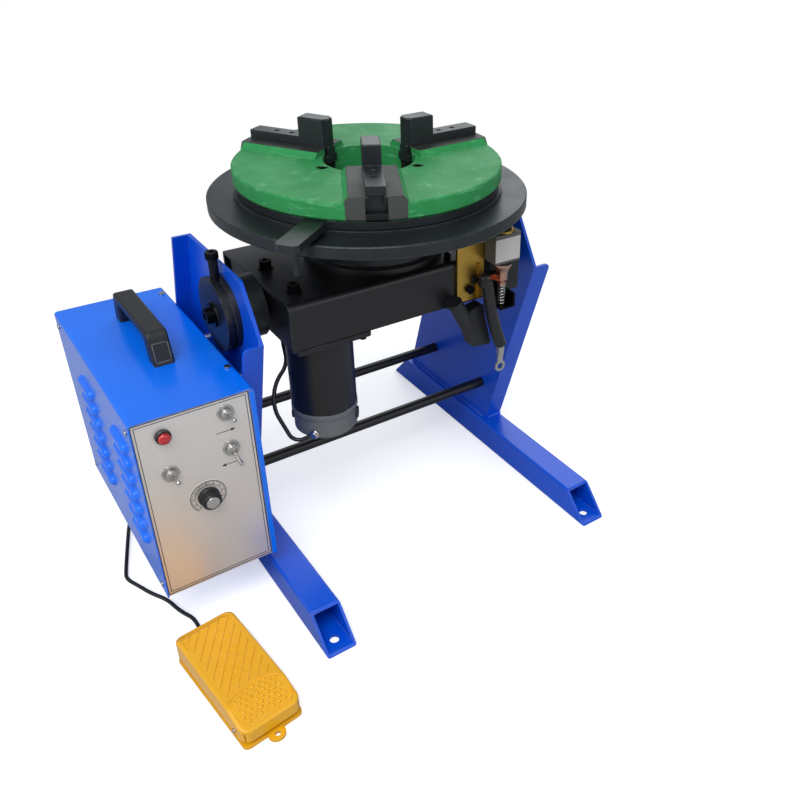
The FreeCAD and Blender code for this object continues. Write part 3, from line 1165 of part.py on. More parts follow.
def earth_brush():
    """A spring pushes a carbon brush up a holder against the underside of the turning table."""
    front = "(head_shift - housing_width / 2)"
    plate_face = "(%s - bracket_sheet)" % front
    axis_y = "(%s - holder_depth / 2)" % plate_face
    holder_left = "(brush_x - holder_width / 2)"
    bracket_top = "(holder_bottom + 0.6 * holder_height)"
    bracket_left = "(%s - bracket_width)" % holder_left
    tall = block("bracket_plate", bracket_left, plate_face, HOUSING_BOTTOM + " + 4",
                 "bracket_width", "bracket_sheet", "%s - %s - 4" % (bracket_top, HOUSING_BOTTOM))
    wide = block("bracket_wing", bracket_left, plate_face, "holder_bottom",
                 "bracket_width + holder_width", "bracket_sheet", bracket_top + " - holder_bottom")
    edge = block("bracket_edge", holder_left + " - 9", plate_face + " - 4", HOUSING_BOTTOM + " + 4",
                 "2", "4.1", "holder_bottom - 7 - %s" % HOUSING_BOTTOM)
    bolt_x = holder_left + " - 0.57 * bracket_width"
    bolt_z = HOUSING_BOTTOM + " + 19"
    bolt_hole = rod("bracket_hole", "y", bolt_x, front + " - 10", bolt_z, "4", "20")
    node(cut("bracket_drilled", fuse("bracket_fold", tall, wide, edge), bolt_hole), "brush_bracket")
    bolt = rod("bracket_bolt_head", "y", bolt_x, plate_face + " - 5", bolt_z, "5", "5")
    shank = rod("bracket_bolt_shank", "y", bolt_x, plate_face, bolt_z, "4",
                "bracket_sheet")
    bracket_bolt = fuse("bracket_bolt", bolt, shank)

    case = body("holder_case")
    flat = sketch(case, "XY_Plane", "holder_outline")
    rectangle(flat, "-holder_width / 2", "-holder_depth / 2", "holder_width / 2", "holder_depth / 2")
    brick = pad(case, flat, "holder_height")
    rounded(case, brick, "2", upright)
    bore = sketch(case, "XY_Plane", "holder_bore", "holder_height")
    circle(bore, "0", "0", "brush_radius + running_clearance")
    pocket(case, bore, "holder_height")
    node(place(case, "brush_x", axis_y, "holder_bottom"), "brush_holder")

    carbon = rod("carbon_rod", "z", "brush_x", axis_y, "holder_bottom - 4", "brush_radius",
                 "%s - 0.4 - holder_bottom + 4" % TABLE_BOTTOM)
    node(carbon, "carbon_brush")
    stud = "(spring_radius - 2 * spring_wire - 0.2)"
    terminal = turned_part("terminal_turned", [
        ("0", "-36"), (stud, "-36"), (stud, "-28"), ("5.5", "-28"), ("5.5", "-24"), ("4", "-24"),
        ("4", "-21"), ("7", "-21"), ("7", "-12"), ("8", "-9"), ("11.5", "-3"), ("11.5", "0"),
        ("0", "0"),
    ])
    node(place(terminal, "brush_x", axis_y, "holder_bottom - 4"), "brush_terminal")

    shelf_low = "(%s - shelf_drop)" % HOUSING_BOTTOM
    shelf_top = "(%s + 3)" % shelf_low
    shelf = block("shelf_floor", "brush_x - 8", front + " - 27", shelf_low, "21", "27", "3")
    shelf_back = block("shelf_back", "brush_x - 8", front + " - 3", shelf_low, "21", "3", "40")
    shelf_side = block("shelf_side", "brush_x + 10", front + " - 27", shelf_low, "3", "27", "18")
    node(fuse("shelf", shelf, shelf_back, shelf_side), "spring_shelf")
    spring_top = "holder_bottom - 4 - 28"
    outer = rod("brush_spring_outside", "z", "brush_x", axis_y, shelf_top, "spring_radius",
                "%s - %s" % (spring_top, shelf_top))
    inner = rod("brush_spring_inside", "z", "brush_x", axis_y, shelf_top,
                "spring_radius - 2 * spring_wire", "%s - %s" % (spring_top, shelf_top))
    node(cut("brush_spring_coil", outer, inner), "brush_spring")

    start = Vector(value(holder_left), value(front), value(HOUSING_BOTTOM))
    path = [start + Vector(*step) for step in (
        (-7, -16.5, 39), (-5.5, -18, 26), (-3, -20, 8), (1.5, -21, -18), (9.5, -22, -45),
        (15, -22, -59))]
    node(solid("earth_lead_tube", route(path, value("lead_radius"))), "earth_lead")
    end = path[-1]
    lug_y = "%.4f" % end.y
    lug_x = "%.4f" % end.x
    lug_z = end.z
    barrel = rod("lug_barrel", "z", lug_x, lug_y, "%.4f" % (lug_z - 14), "4.8", "14")
    tongue = block("lug_tongue", lug_x + " - 4", lug_y + " - 1", "%.4f" % (lug_z - 27), "8", "2", "15")
    ring = rod("lug_ring", "y", lug_x, lug_y + " - 1", "%.4f" % (lug_z - 31.5), "7.5", "2")
    hole = rod("lug_hole", "y", lug_x, lug_y + " - 2", "%.4f" % (lug_z - 31.5), "lug_hole_radius", "4")
    node(cut("lug", fuse("lug_blank", barrel, tongue, ring), hole), "earth_lug")

    foot = block("anchor_foot", "42", front + " - 8", HOUSING_BOTTOM + " + 1", "12", "8", "12")
    ribs = doc.addObject("Part::Cylinder", "anchor_ribs")
    bind(ribs, Radius="9", Height="38")
    ribs.Placement = Placement(Vector(), Rotation(Vector(0, 1, 0), 153))
    place(ribs, "46", front + " - 14", HOUSING_BOTTOM + " + 13")
    case = body("anchor_case")
    shape = sketch(case, "XZ_Plane", "anchor_outline")
    outline(shape, [("-10", "-24"), ("0", "-57"), ("29", "-61"), ("19", "-22"), ("16", "-2"), ("-2", "-6")])
    brick = pad(case, shape, "16", middle=True)
    rounded(case, brick, "3", lambda edge, middle: abs(edge.tangentAt(0).y) > 0.999)
    place(case, "76", front + " - 1", HOUSING_BOTTOM + " - 2")
    node(fuse("anchor_blank", foot, ribs, case), "cable_anchor")
    return bracket_bolt


# ---------------------------------------------------------------- turntable

def turntable():
    """Spindle and worktable; returns the screws between them."""
    length = "(%s - %s + 1)" % (TABLE_BOTTOM, GEAR_BOTTOM)
    neck = "(%s - spindle_flange_thickness)" % length
    spindle = turned_part("spindle_turned", [
        ("table_bore_radius", "0"), ("bearing_bore / 2", "0"), ("bearing_bore / 2", neck),
        ("spindle_flange_radius", neck), ("spindle_flange_radius", length),
        ("table_bore_radius", length),
    ])
    node(place(spindle, "0", "head_shift", GEAR_BOTTOM + " - 1"), "spindle")
    table = turned_part("table_turned", [
        ("table_bore_radius", "0"), ("table_radius - 1.5", "0"), ("table_radius", "1.5"),
        ("table_radius", "table_thickness - 1"), ("table_radius - 1", "table_thickness"),
        ("table_bore_radius", "table_thickness"),
    ])
    bolt = sketch(table, "XY_Plane", "table_bolt_hole", "table_thickness")
    circle(bolt, "0", "-45", "4")
    head = sketch(table, "XY_Plane", "table_bolt_head", "table_thickness")
    circle(head, "0", "-45", "7")
    tapped = sketch(table, "XY_Plane", "table_tapped_hole", "table_thickness")
    circle(tapped, "chuck_bolt_radius * cos(chuck_turn + 60)",
           "chuck_bolt_radius * sin(chuck_turn + 60)", "5")
    ring_of(table, [pocket(table, tapped, "11")], "3")
    doc.recompute()
    through = pocket(table, bolt, "table_thickness")
    counterbore = pocket(table, head, "8.5")
    ring_of(table, [through, counterbore], "6")
    node(place(table, "0", "head_shift", TABLE_BOTTOM), "worktable")
    screws = []
    for i in range(6):
        x = "45 * sin(%d)" % (60 * i)
        y = "head_shift - 45 * cos(%d)" % (60 * i)
        shank = rod("table_shank_%d" % i, "z", x, y, TABLE_BOTTOM, "4", "table_thickness - 8.5")
        cap = rod("table_cap_%d" % i, "z", x, y, "table_height - 8.5", "6.5", "8")
        screws.append(fuse("table_screw_%d" % i, shank, cap))
    return screws


# ---------------------------------------------------------------- chuck

def spiral_slot(name, way_angle):
    """A slot whose centre line moves in by the cam rate for each degree of the lever."""
    half = value("cam_pin_radius") + 0.4
    low = value(CAM_BOTTOM) - 1
    opening = value("cam_open_angle")
    closing = value("cam_close_angle")
    rate = value("cam_rate")

    def at(turn, offset):
        angle = math.radians(value(way_angle) - turn)
        radius = value("cam_pin_circle") - rate * turn + offset
        return Vector(radius * math.cos(angle), radius * math.sin(angle), low)

    stops = [-opening - 1 + i * (opening + closing + 2) / 6 for i in range(7)]
    outer = Part.BSplineCurve()
    outer.interpolate([at(turn, half) for turn in stops])
    inner = Part.BSplineCurve()
    inner.interpolate([at(turn, -half) for turn in stops])
    step = math.degrees(half / value("cam_pin_circle"))
    far = Part.Arc(at(stops[-1], half), at(stops[-1] + step, 0), at(stops[-1], -half))
    near = Part.Arc(at(stops[0], half), at(stops[0] - step, 0), at(stops[0], -half))
    edges = Part.sortEdges([item.toShape() for item in (outer, far, inner, near)])[0]
    face = Part.Face(Part.Wire(edges))
    shape = face.extrude(Vector(0, 0, value("cam_thickness") + 2))
    return solid(name, shape, Placement(Vector(0, value("head_shift"), 0), Rotation()))


def cam_ring():
    """A ring with three spiral slots and a flat lever, between the adaptor and the chuck body."""
    ring = rod("cam_blank", "z", "0", "head_shift", CAM_BOTTOM, "chuck_radius - 3", "cam_thickness")
    bar = body("lever_bar")
    flat = sketch(bar, "XY_Plane", "lever_outline")
    half = "lever_width / 2"
    rectangle(flat, "100", "-" + half, "lever_reach", half)
    strip = pad(bar, flat, "cam_thickness")
    rounded(bar, strip, "4", lambda edge, middle: upright(edge, middle)
            and middle.x > value("lever_reach") - 1, "Chamfer")
    hole = sketch(bar, "XY_Plane", "lever_hole", "cam_thickness")
    circle(hole, "lever_reach - 18", "0", "3")
    pocket(bar, hole, "cam_thickness")
    place(bar, "0", "head_shift", CAM_BOTTOM, (0, 0, 1), "lever_turn")
    middle = rod("cam_middle", "z", "0", "head_shift", CAM_BOTTOM + " - 1",
                 "chuck_bolt_radius + 13 + slide_clearance", "cam_thickness + 2")
    slots = [spiral_slot("cam_slot_%d" % i, angle) for i, angle in enumerate(WAY_ANGLES)]
    lever = cut("cam_ring_cut", fuse("cam_and_lever", ring, bar), middle, *slots)
    x = "(lever_reach - 18) * cos(lever_turn)"
    y = "head_shift + (lever_reach - 18) * sin(lever_turn)"
    shank = rod("lever_pin_shank", "z", x, y, CAM_BOTTOM + " - 30", "3", "30 + cam_thickness")
    nut = hexagon("lever_pin_nut", "z", x, y, CAM_BOTTOM + " - 5", "10", "5")
    node(group("cam_lever_pieces", lever, fuse("lever_pin", shank, nut)), "cam_lever")


def chuck_adaptor():
    """The plate that spaces the chuck off the worktable."""
    plate = turned_part("adaptor_turned", [
        ("chuck_bore_radius", "0"), ("chuck_radius + 1", "0"),
        ("chuck_radius + 1", "chuck_adaptor_thickness"),
        ("chuck_bore_radius", "chuck_adaptor_thickness"),
    ])
    hole = sketch(plate, "XY_Plane", "adaptor_hole", "chuck_adaptor_thickness")
    circle(hole, "chuck_bolt_radius * cos(60)", "chuck_bolt_radius * sin(60)", "5")
    ring_of(plate, [pocket(plate, hole, "chuck_adaptor_thickness")], "3")
    place(plate, "0", "head_shift", "table_height", (0, 0, 1), "chuck_turn")
    node(plate, "chuck_adaptor")


def chuck_body(table_screws):
    """The cast body: a disc with three raised ways, a T-slot in each, and three bolts between."""
    chuck = turned_part("chuck_turned", [
        ("chuck_bore_radius", "-(cam_thickness + 2 * cam_clearance)"),
        ("chuck_bolt_radius + 13", "-(cam_thickness + 2 * cam_clearance)"),
        ("chuck_bolt_radius + 13", "0"), ("chuck_radius - 3", "0"), ("chuck_radius", "3"),
        ("chuck_radius", "chuck_rim_height - 1.5"), ("chuck_radius - 1.5", "chuck_rim_height"),
        ("chuck_bore_radius", "chuck_rim_height"),
    ])
    way = sketch(chuck, "YZ_Plane", "way_section", "chuck_bore_radius - 2")
    rise = "chuck_rim_height + way_rise"
    outline(way, [
        ("-(way_width / 2 + way_flank)", "chuck_rim_height - 1"),
        ("way_width / 2 + way_flank", "chuck_rim_height - 1"),
        ("way_width / 2 + way_flank", "chuck_rim_height"), ("way_width / 2", rise),
        ("-way_width / 2", rise), ("-(way_width / 2 + way_flank)", "chuck_rim_height"),
    ])
    raised = pad(chuck, way, "chuck_radius - chuck_bore_radius + 6")
    ring_of(chuck, [raised], "3")
    doc.recompute()
    trim = sketch(chuck, "XZ_Plane", "way_trim")
    outline(trim, [
        ("chuck_radius", "3"), ("chuck_radius + 30", "3"), ("chuck_radius + 30", rise + " + 5"),
        ("chuck_radius", rise + " + 5"),
    ])
    grooved(chuck, trim)
    slot = sketch(chuck, "YZ_Plane", "slot_section", "chuck_radius + 5")
    throat = "slot_throat_width / 2"
    base = "slot_base_width / 2"
    shelf = "chuck_floor + slot_base_height"
    outline(slot, [
        ("-" + base, "chuck_floor"), (base, "chuck_floor"), (base, shelf), (throat, shelf),
        (throat, rise + " + 5"), ("-" + throat, rise + " + 5"), ("-" + throat, shelf), ("-" + base, shelf),
    ])
    slot_cut = pocket(chuck, slot, "chuck_radius")
    pin_way = sketch(chuck, "XY_Plane", "pin_way", "chuck_floor + 1")
    reach = "cam_pin_radius + 2"
    rectangle(pin_way, "cam_pin_circle - cam_rate * cam_close_angle - (%s)" % reach,
              "-(cam_pin_radius + 0.5)",
              "cam_pin_circle + cam_rate * cam_open_angle + " + reach, "cam_pin_radius + 0.5")
    pin_cut = pocket(chuck, pin_way, "chuck_floor + 2")
    ring_of(chuck, [slot_cut, pin_cut], "3")
    doc.recompute()
    hole = sketch(chuck, "XY_Plane", "chuck_bolt_hole", "chuck_rim_height")
    circle(hole, "chuck_bolt_radius * cos(60)", "chuck_bolt_radius * sin(60)", "5")
    head = sketch(chuck, "XY_Plane", "chuck_bolt_head", "chuck_rim_height")
    circle(head, "chuck_bolt_radius * cos(60)", "chuck_bolt_radius * sin(60)", "6.5")
    drilled = pocket(chuck, hole, "chuck_rim_height + cam_thickness + 2 * cam_clearance")
    sunk = pocket(chuck, head, "11")
    ring_of(chuck, [drilled, sunk], "3")
    place(chuck, "0", "head_shift", CHUCK_BOTTOM, (0, 0, 1), "chuck_turn")
    node(chuck, "chuck_body")
    bolts = []
    for i in range(3):
        angle = "(chuck_turn + %d)" % (60 + 120 * i)
        x = "chuck_bolt_radius * cos%s" % angle
        y = "head_shift + chuck_bolt_radius * sin%s" % angle
        shank = rod("chuck_shank_%d" % i, "z", x, y, "table_height - 10", "5",
                    "%s - 1 - table_height" % CHUCK_TOP)
        cap = rod("chuck_cap_%d" % i, "z", x, y, CHUCK_TOP + " - 11", "6.2", "10")
        socket = hexagon("chuck_socket_%d" % i, "z", x, y, CHUCK_TOP + " - 6", "6", "6")
        bolts.append(cut("chuck_bolt_%d" % i, fuse("chuck_bolt_blank_%d" % i, shank, cap), socket))
    node(group("turntable_screw_set", *bolts, *table_screws), "turntable_screws")


JAW_SCREW_PLACES = ["jaw_inner_radius + 50.5", "jaw_inner_radius + 70.5"]


def jaw(number, angle):
    """A T-shaped slide with its cam pin, and the top jaw screwed on it, made along +X."""
    name = "jaw_%d" % number
    slide = body(name + "_slide")
    section = sketch(slide, "YZ_Plane", name + "_section", "jaw_inner_radius")
    throat = "(slot_throat_width / 2 - slide_clearance)"
    base = "(slot_base_width / 2 - slide_clearance)"
    shelf = "(chuck_floor + slot_base_height - slide_clearance)"
    seat = "(chuck_rim_height + way_rise + slide_clearance)"
    low = "(chuck_floor + slide_clearance)"
    outline(section, [
        ("-" + base, low), (base, low), (base, shelf), (throat, shelf), (throat, seat),
        ("-" + throat, seat), ("-" + throat, shelf), ("-" + base, shelf),
    ])
    pad(slide, section, "jaw_length - 4")
    pin = sketch(slide, "XY_Plane", name + "_pin", low)
    circle(pin, "cam_pin_circle", "0", "cam_pin_radius")
    pad(slide, pin, "chuck_floor + slide_clearance + cam_clearance + cam_thickness - 1.5",
        backwards=True)
    holes = sketch(slide, "XY_Plane", name + "_slide_holes", seat)
    for x in JAW_SCREW_PLACES:
        circle(holes, x, "0", "2")
    pocket(slide, holes, "10")

    top = body(name + "_top")
    side = sketch(top, "XZ_Plane", name + "_side")
    end = "jaw_inner_radius + jaw_length"
    step = "jaw_inner_radius + jaw_block_length"
    outline(side, [
        ("jaw_inner_radius", seat), (end, seat), (end, seat + " + jaw_bar_height"),
        (step, seat + " + jaw_bar_height"), (step, seat + " + jaw_block_height"),
        ("jaw_inner_radius", seat + " + jaw_block_height"),
    ])
    blank = pad(top, side, "jaw_width", middle=True)
    nose = rounded(top, blank, "5", lambda edge, middle: upright(edge, middle)
                   and middle.x < value("jaw_inner_radius") + 0.1, "Chamfer")
    rounded(top, nose, "1", lambda edge, middle: abs(edge.tangentAt(0).z) < 0.1
            and middle.z > value(seat + " + jaw_bar_height") + 1, "Chamfer")
    sunk = sketch(top, "XY_Plane", name + "_screw_heads", seat + " + jaw_bar_height")
    for x in JAW_SCREW_PLACES:
        circle(sunk, x, "0", "3.2")
    pocket(top, sunk, "6")
    drilled = sketch(top, "XY_Plane", name + "_screw_holes", seat + " + jaw_bar_height")
    for x in JAW_SCREW_PLACES:
        circle(drilled, x, "0", "2")
    pocket(top, drilled, "jaw_bar_height")
    screws = []
    for i, x in enumerate(JAW_SCREW_PLACES):
        shank = rod("%s_shank_%d" % (name, i), "z", x, "0", seat + " - 10", "2",
                    "jaw_bar_height + 4")
        cap = rod("%s_cap_%d" % (name, i), "z", x, "0", seat + " + jaw_bar_height - 6", "3", "5")
        screws.append(fuse("%s_screw_%d" % (name, i), shank, cap))
    pieces = group(name + "_pieces", slide, top, *screws)
    place(pieces, "0", "head_shift", CHUCK_BOTTOM, (0, 0, 1), angle)
    node(pieces, name)


# ---------------------------------------------------------------- build

foot_tube("left_foot", -1)
foot_tube("right_foot", 1)
side_plate("left_side_plate", -1)
side_plate("right_side_plate", 1)
tie_rods()
tilt_hubs()
control_box_cover()
control_box_chassis()
cable_glands()
control_panel()
carry_handle()
box_mounting()
cover_screws()
panel_fittings()
controller()
foot_switch()
foot_cord()
housing_channel()
housing_plates()
trunnions()
spindle_hub()
drive()
head_screws(earth_brush())
table_screws = turntable()
cam_ring()
chuck_adaptor()
chuck_body(table_screws)
for jaw_number, jaw_angle in enumerate(WAY_ANGLES, 1):
    jaw(jaw_number, jaw_angle)

doc.recompute()
for thing in doc.Objects:
    if "Invalid" in thing.State or "Error" in thing.State:
        raise RuntimeError("%s failed: %s" % (thing.Name, thing.State))
os.makedirs("parts", exist_ok=True)
for thing in NODES:
    shape = thing.Shape
    if shape.isNull() or not shape.isValid() or not shape.Solids:
        raise RuntimeError("%s has no valid solid" % thing.Label)
    shape.exportStep("parts/%s.step" % thing.Label)
print("%d nodes written" % len(NODES))
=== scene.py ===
"""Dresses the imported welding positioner: finishes, fittings, cords, camera and light.

The file is laid out as an add-on but is run as a script. Lengths are in metres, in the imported
model's own frame: the origin on the floor between the floor bolts, X along the tilt axis away
from the control box, -Y to the operator's side and Z up.
"""

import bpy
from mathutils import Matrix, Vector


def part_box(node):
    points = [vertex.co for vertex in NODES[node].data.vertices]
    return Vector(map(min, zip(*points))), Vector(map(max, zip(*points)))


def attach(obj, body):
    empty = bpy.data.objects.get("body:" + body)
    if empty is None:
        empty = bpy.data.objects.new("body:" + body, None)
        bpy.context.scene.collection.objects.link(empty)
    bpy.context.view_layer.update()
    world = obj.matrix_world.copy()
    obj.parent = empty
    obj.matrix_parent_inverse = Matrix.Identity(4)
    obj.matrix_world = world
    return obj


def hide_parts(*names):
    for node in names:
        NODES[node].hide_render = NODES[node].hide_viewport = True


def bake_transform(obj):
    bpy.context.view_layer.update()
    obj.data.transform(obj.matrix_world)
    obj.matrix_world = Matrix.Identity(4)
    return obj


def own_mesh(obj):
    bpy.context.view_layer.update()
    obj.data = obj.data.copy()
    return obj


bl_info = {
    "name": "Welding Positioner Dressing",
    "version": (1, 0, 0),
    "blender": (4, 5, 0),
    "location": "View3D > Sidebar > Positioner",
    "description": "Adds finishes, fittings, cords and a studio to the packed welding positioner",
    "category": "Object",
}

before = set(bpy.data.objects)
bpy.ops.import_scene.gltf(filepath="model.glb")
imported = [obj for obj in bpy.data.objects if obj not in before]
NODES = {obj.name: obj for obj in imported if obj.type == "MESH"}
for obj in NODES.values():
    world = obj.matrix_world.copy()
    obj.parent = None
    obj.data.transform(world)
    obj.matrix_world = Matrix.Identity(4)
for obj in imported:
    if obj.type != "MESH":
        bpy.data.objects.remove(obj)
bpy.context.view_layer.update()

import math
import bpy
from bpy.props import FloatProperty, FloatVectorProperty, IntProperty, PointerProperty
from mathutils import Matrix, Vector

MM = 0.001
MATERIALS = {}


def colour(name, text, value):
    """A colour setting, given as the red, green and blue of a screen colour from 0 to 255."""
    linear = [(c / 255 / 12.92) if c < 11 else ((c / 255 + 0.055) / 1.055) ** 2.4 for c in value]
    return FloatVectorProperty(name=name, description=text, default=linear, subtype="COLOR",
                               min=0, max=1)


def length(name, text, value):
    """A length setting in metres."""
    return FloatProperty(name=name, description=text, default=value, unit="LENGTH", min=0)


# ---------------------------------------------------------------- settings

class PositionerPaint(bpy.types.PropertyGroup):
    """Colours of the machine's finishes."""
    frame_blue: colour("Frame blue", "Enamel of the feet and side plates", (0, 86, 222))
    # painted light: the box has the frame's blue enamel; this brighter blue is a lit copy of it
    box_blue_painted_lit: colour("Box blue", "Enamel of the control box", (0, 118, 255))
    chuck_green: colour("Chuck green", "Enamel of the chuck body", (48, 148, 82))
    way_steel: colour("Way steel", "Machined tops of the chuck's ways", (70, 72, 70))
    black_enamel: colour("Black enamel", "Housing, hubs, motor and rods", (17, 18, 21))
    table_black: colour("Table black", "Blackened steel of the table and jaws", (52, 57, 60))
    zinc: colour("Zinc", "Bright plated nuts and levers", (205, 203, 200))
    panel: colour("Panel steel", "Brushed sheet of the front panel", (232, 228, 224))
    yellow_zinc: colour("Yellow zinc", "Plating of the brush bracket", (204, 166, 80))
    pedal_yellow: colour("Pedal yellow", "Enamel of the foot switch", (252, 184, 24))
    plastic: colour("Plastic", "Handle, knob and glands", (24, 26, 30))
    holder_grey: colour("Holder grey", "Moulding of the brush holder", (92, 92, 86))
    motor_grey: colour("Motor grey", "End cap of the motor", (104, 107, 110))
    bronze: colour("Bronze", "Dome and nuts of the brush terminal", (198, 160, 142))
    copper: colour("Copper", "Braid of the earth lead", (226, 96, 52))
    lamp_red: colour("Lamp red", "Lens of the pilot lamp", (190, 26, 30))
    rubber: colour("Rubber", "Sheaths of the cords", (26, 27, 29))


class PositionerSizes(bpy.types.PropertyGroup):
    """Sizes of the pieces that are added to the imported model."""
    rib_pitch: length("Rib pitch", "Between the diagonal ribs on the pedal", 0.0088)
    rib_width: length("Rib width", "Foot of a rib on the pedal", 0.0015)
    rib_height: length("Rib height", "Rise of a rib above the pedal", 0.0009)
    stud_pitch: length("Stud pitch", "Between the studs on the pedal", 0.0066)
    stud_radius: length("Stud radius", "Foot of a stud on the pedal", 0.0019)
    line_width: length("Line width", "Border line on the panel", 0.0007)
    tick_length: length("Tick length", "Ticks of the speed dial", 0.0024)
    weld_radius: length("Weld radius", "Half the width of a weld bead", 0.0034)
    weld_ripple: length("Weld ripple", "Between the ripples of a weld bead", 0.0026)
    spring_turns: IntProperty(name="Spring turns", description="Turns of the brush spring",
                              default=7, min=3)
    spring_wire: length("Spring wire", "Half the thickness of the brush spring's wire", 0.001)
    pedal_spring_turns: IntProperty(name="Pedal spring turns",
                                    description="Turns of the spring under the pedal",
                                    default=6, min=3)
    pedal_spring_wire: length("Pedal spring wire", "Half the thickness of that spring's wire",
                              0.0008)
    knob_flutes: IntProperty(name="Knob flutes", description="Ridges round the speed knob",
                             default=22, min=6)


def paint():
    """The colour settings."""
    return bpy.context.scene.positioner_paint


def sizes():
    """The size settings."""
    return bpy.context.scene.positioner_sizes


# ---------------------------------------------------------------- mesh helpers

def mesh_piece(name, vertices, faces, finish, body, smooth=False):
    """A mesh object in the row frame that rides on a body, if one is named."""
    mesh = bpy.data.meshes.new(name)
    mesh.from_pydata([tuple(v) for v in vertices], [], faces)
    mesh.validate()
    mesh.update()
    mesh.shade_smooth() if smooth else mesh.shade_flat()
    piece = bpy.data.objects.new(name, mesh)
    bpy.context.scene.collection.objects.link(piece)
    piece.data.materials.append(MATERIALS[finish])
    if body:
        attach(piece, body)
    return piece


class Shape:
    """Vertices and faces that grow as simple forms are added to them."""

    def __init__(self):
        self.vertices = []
        self.faces = []

    def add(self, vertices, faces, place=None):
        """Add a form, moved by a matrix."""
        start = len(self.vertices)
        self.vertices += [place @ Vector(v) if place else Vector(v) for v in vertices]
        self.faces += [tuple(i + start for i in face) for face in faces]

    def rings(self, rings, closed=False, place=None):
        """Skin a row of rings that have the same number of points; close it or cap its ends."""
        count = len(rings[0])
        faces = []
        steps = len(rings) if closed else len(rings) - 1
        for i in range(steps):
            here, there = i * count, (i + 1) % len(rings) * count
            faces += [(here + j, here + (j + 1) % count, there + (j + 1) % count, there + j)
                      for j in range(count)]
        if not closed:
            faces.append(tuple(range(count - 1, -1, -1)))
            faces.append(tuple(range((len(rings) - 1) * count, len(rings) * count)))
        self.add([point for ring in rings for point in ring], faces, place)

    def turned(self, profile, sides=32, place=None, phase=0.0):
        """A form turned about Z from (radius, height) pairs, from one end to the other."""
        turns = [phase + 2 * math.pi * i / sides for i in range(sides)]
        self.rings([[(r * math.cos(a), r * math.sin(a), z) for a in turns] for r, z in profile],
                   place=place)

    def sweep(self, points, radii, sides=10, closed=False):
        """A round tube along points, with one radius or one for each point."""
        points = [Vector(p) for p in points]
        radii = radii if isinstance(radii, (list, tuple)) else [radii] * len(points)
        tangents = [(points[min(i + 1, len(points) - 1)] - points[max(i - 1, 0)]).normalized()
                    for i in range(len(points))]
        across = tangents[0].orthogonal().normalized()
        rings = []
        for point, tangent, radius in zip(points, tangents, radii):
            across = (across - tangent * across.dot(tangent)).normalized()
            up = tangent.cross(across)
            rings.append([point + radius * (math.cos(a) * across + math.sin(a) * up)
                          for a in (2 * math.pi * k / sides for k in range(sides))])
        self.rings(rings, closed)

    def block(self, low, high, place=None):
        """A box between two corners."""
        x0, y0, z0 = low
        x1, y1, z1 = high
        self.rings([[(x0, y0, z), (x1, y0, z), (x1, y1, z), (x0, y1, z)] for z in (z0, z1)],
                   place=place)

    def piece(self, name, finish, body, smooth=False):
        """The finished object."""
        return mesh_piece(name, self.vertices, self.faces, finish, body, smooth)


def soften(piece, width, segments=2, angle=40):
    """Round a piece's edges a little."""
    bevel = piece.modifiers.new("rounded_edges", "BEVEL")
    bevel.width = width
    bevel.segments = segments
    bevel.limit_method = "ANGLE"
    bevel.angle_limit = math.radians(angle)
    return piece


def corners(node):
    """Low and high corner of a CAD node's box."""
    low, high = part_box(node)
    return Vector(low), Vector(high)


def centre(node):
    """Middle of a CAD node's box."""
    low, high = corners(node)
    return (low + high) / 2


# ---------------------------------------------------------------- shader groups

def new_group(name, inputs, outputs):
    """An empty shader group with named float or vector sockets."""
    group = bpy.data.node_groups.new(name, "ShaderNodeTree")
    for label, kind, default in inputs:
        socket = group.interface.new_socket(name=label, in_out="INPUT", socket_type=kind)
        socket.default_value = default
    for label, kind in outputs:
        group.interface.new_socket(name=label, in_out="OUTPUT", socket_type=kind)
    return group, group.nodes.new("NodeGroupInput"), group.nodes.new("NodeGroupOutput")


def math_node(tree, operation, first, second=None, clamp=False):
    """A math node; its inputs are sockets or numbers."""
    item = tree.nodes.new("ShaderNodeMath")
    item.operation = operation
    item.use_clamp = clamp
    for socket, source in zip(item.inputs, (first, second)):
        if source is None:
            continue
        if isinstance(source, (int, float)):
            socket.default_value = source
        else:
            tree.links.new(source, socket)
    return item.outputs[0]


def vector_node(tree, operation, first, second=None):
    """A vector math node; its inputs are sockets or triples."""
    item = tree.nodes.new("ShaderNodeVectorMath")
    item.operation = operation
    for socket, source in zip(item.inputs, (first, second)):
        if isinstance(source, tuple):
            socket.default_value = source
        elif source is not None:
            tree.links.new(source, socket)
    return item.outputs["Value" if operation in ("DOT_PRODUCT", "LENGTH") else "Vector"]


def noise(tree, vector, scale, detail=3.0, roughness=0.55):
    """A noise texture's factor; scale is a number or a socket."""
    item = tree.nodes.new("ShaderNodeTexNoise")
    item.inputs["Detail"].default_value = detail
    item.inputs["Roughness"].default_value = roughness
    tree.links.new(vector, item.inputs["Vector"])
    if isinstance(scale, (int, float)):
        item.inputs["Scale"].default_value = scale
    else:
        tree.links.new(scale, item.inputs["Scale"])
    return item.outputs["Fac"]


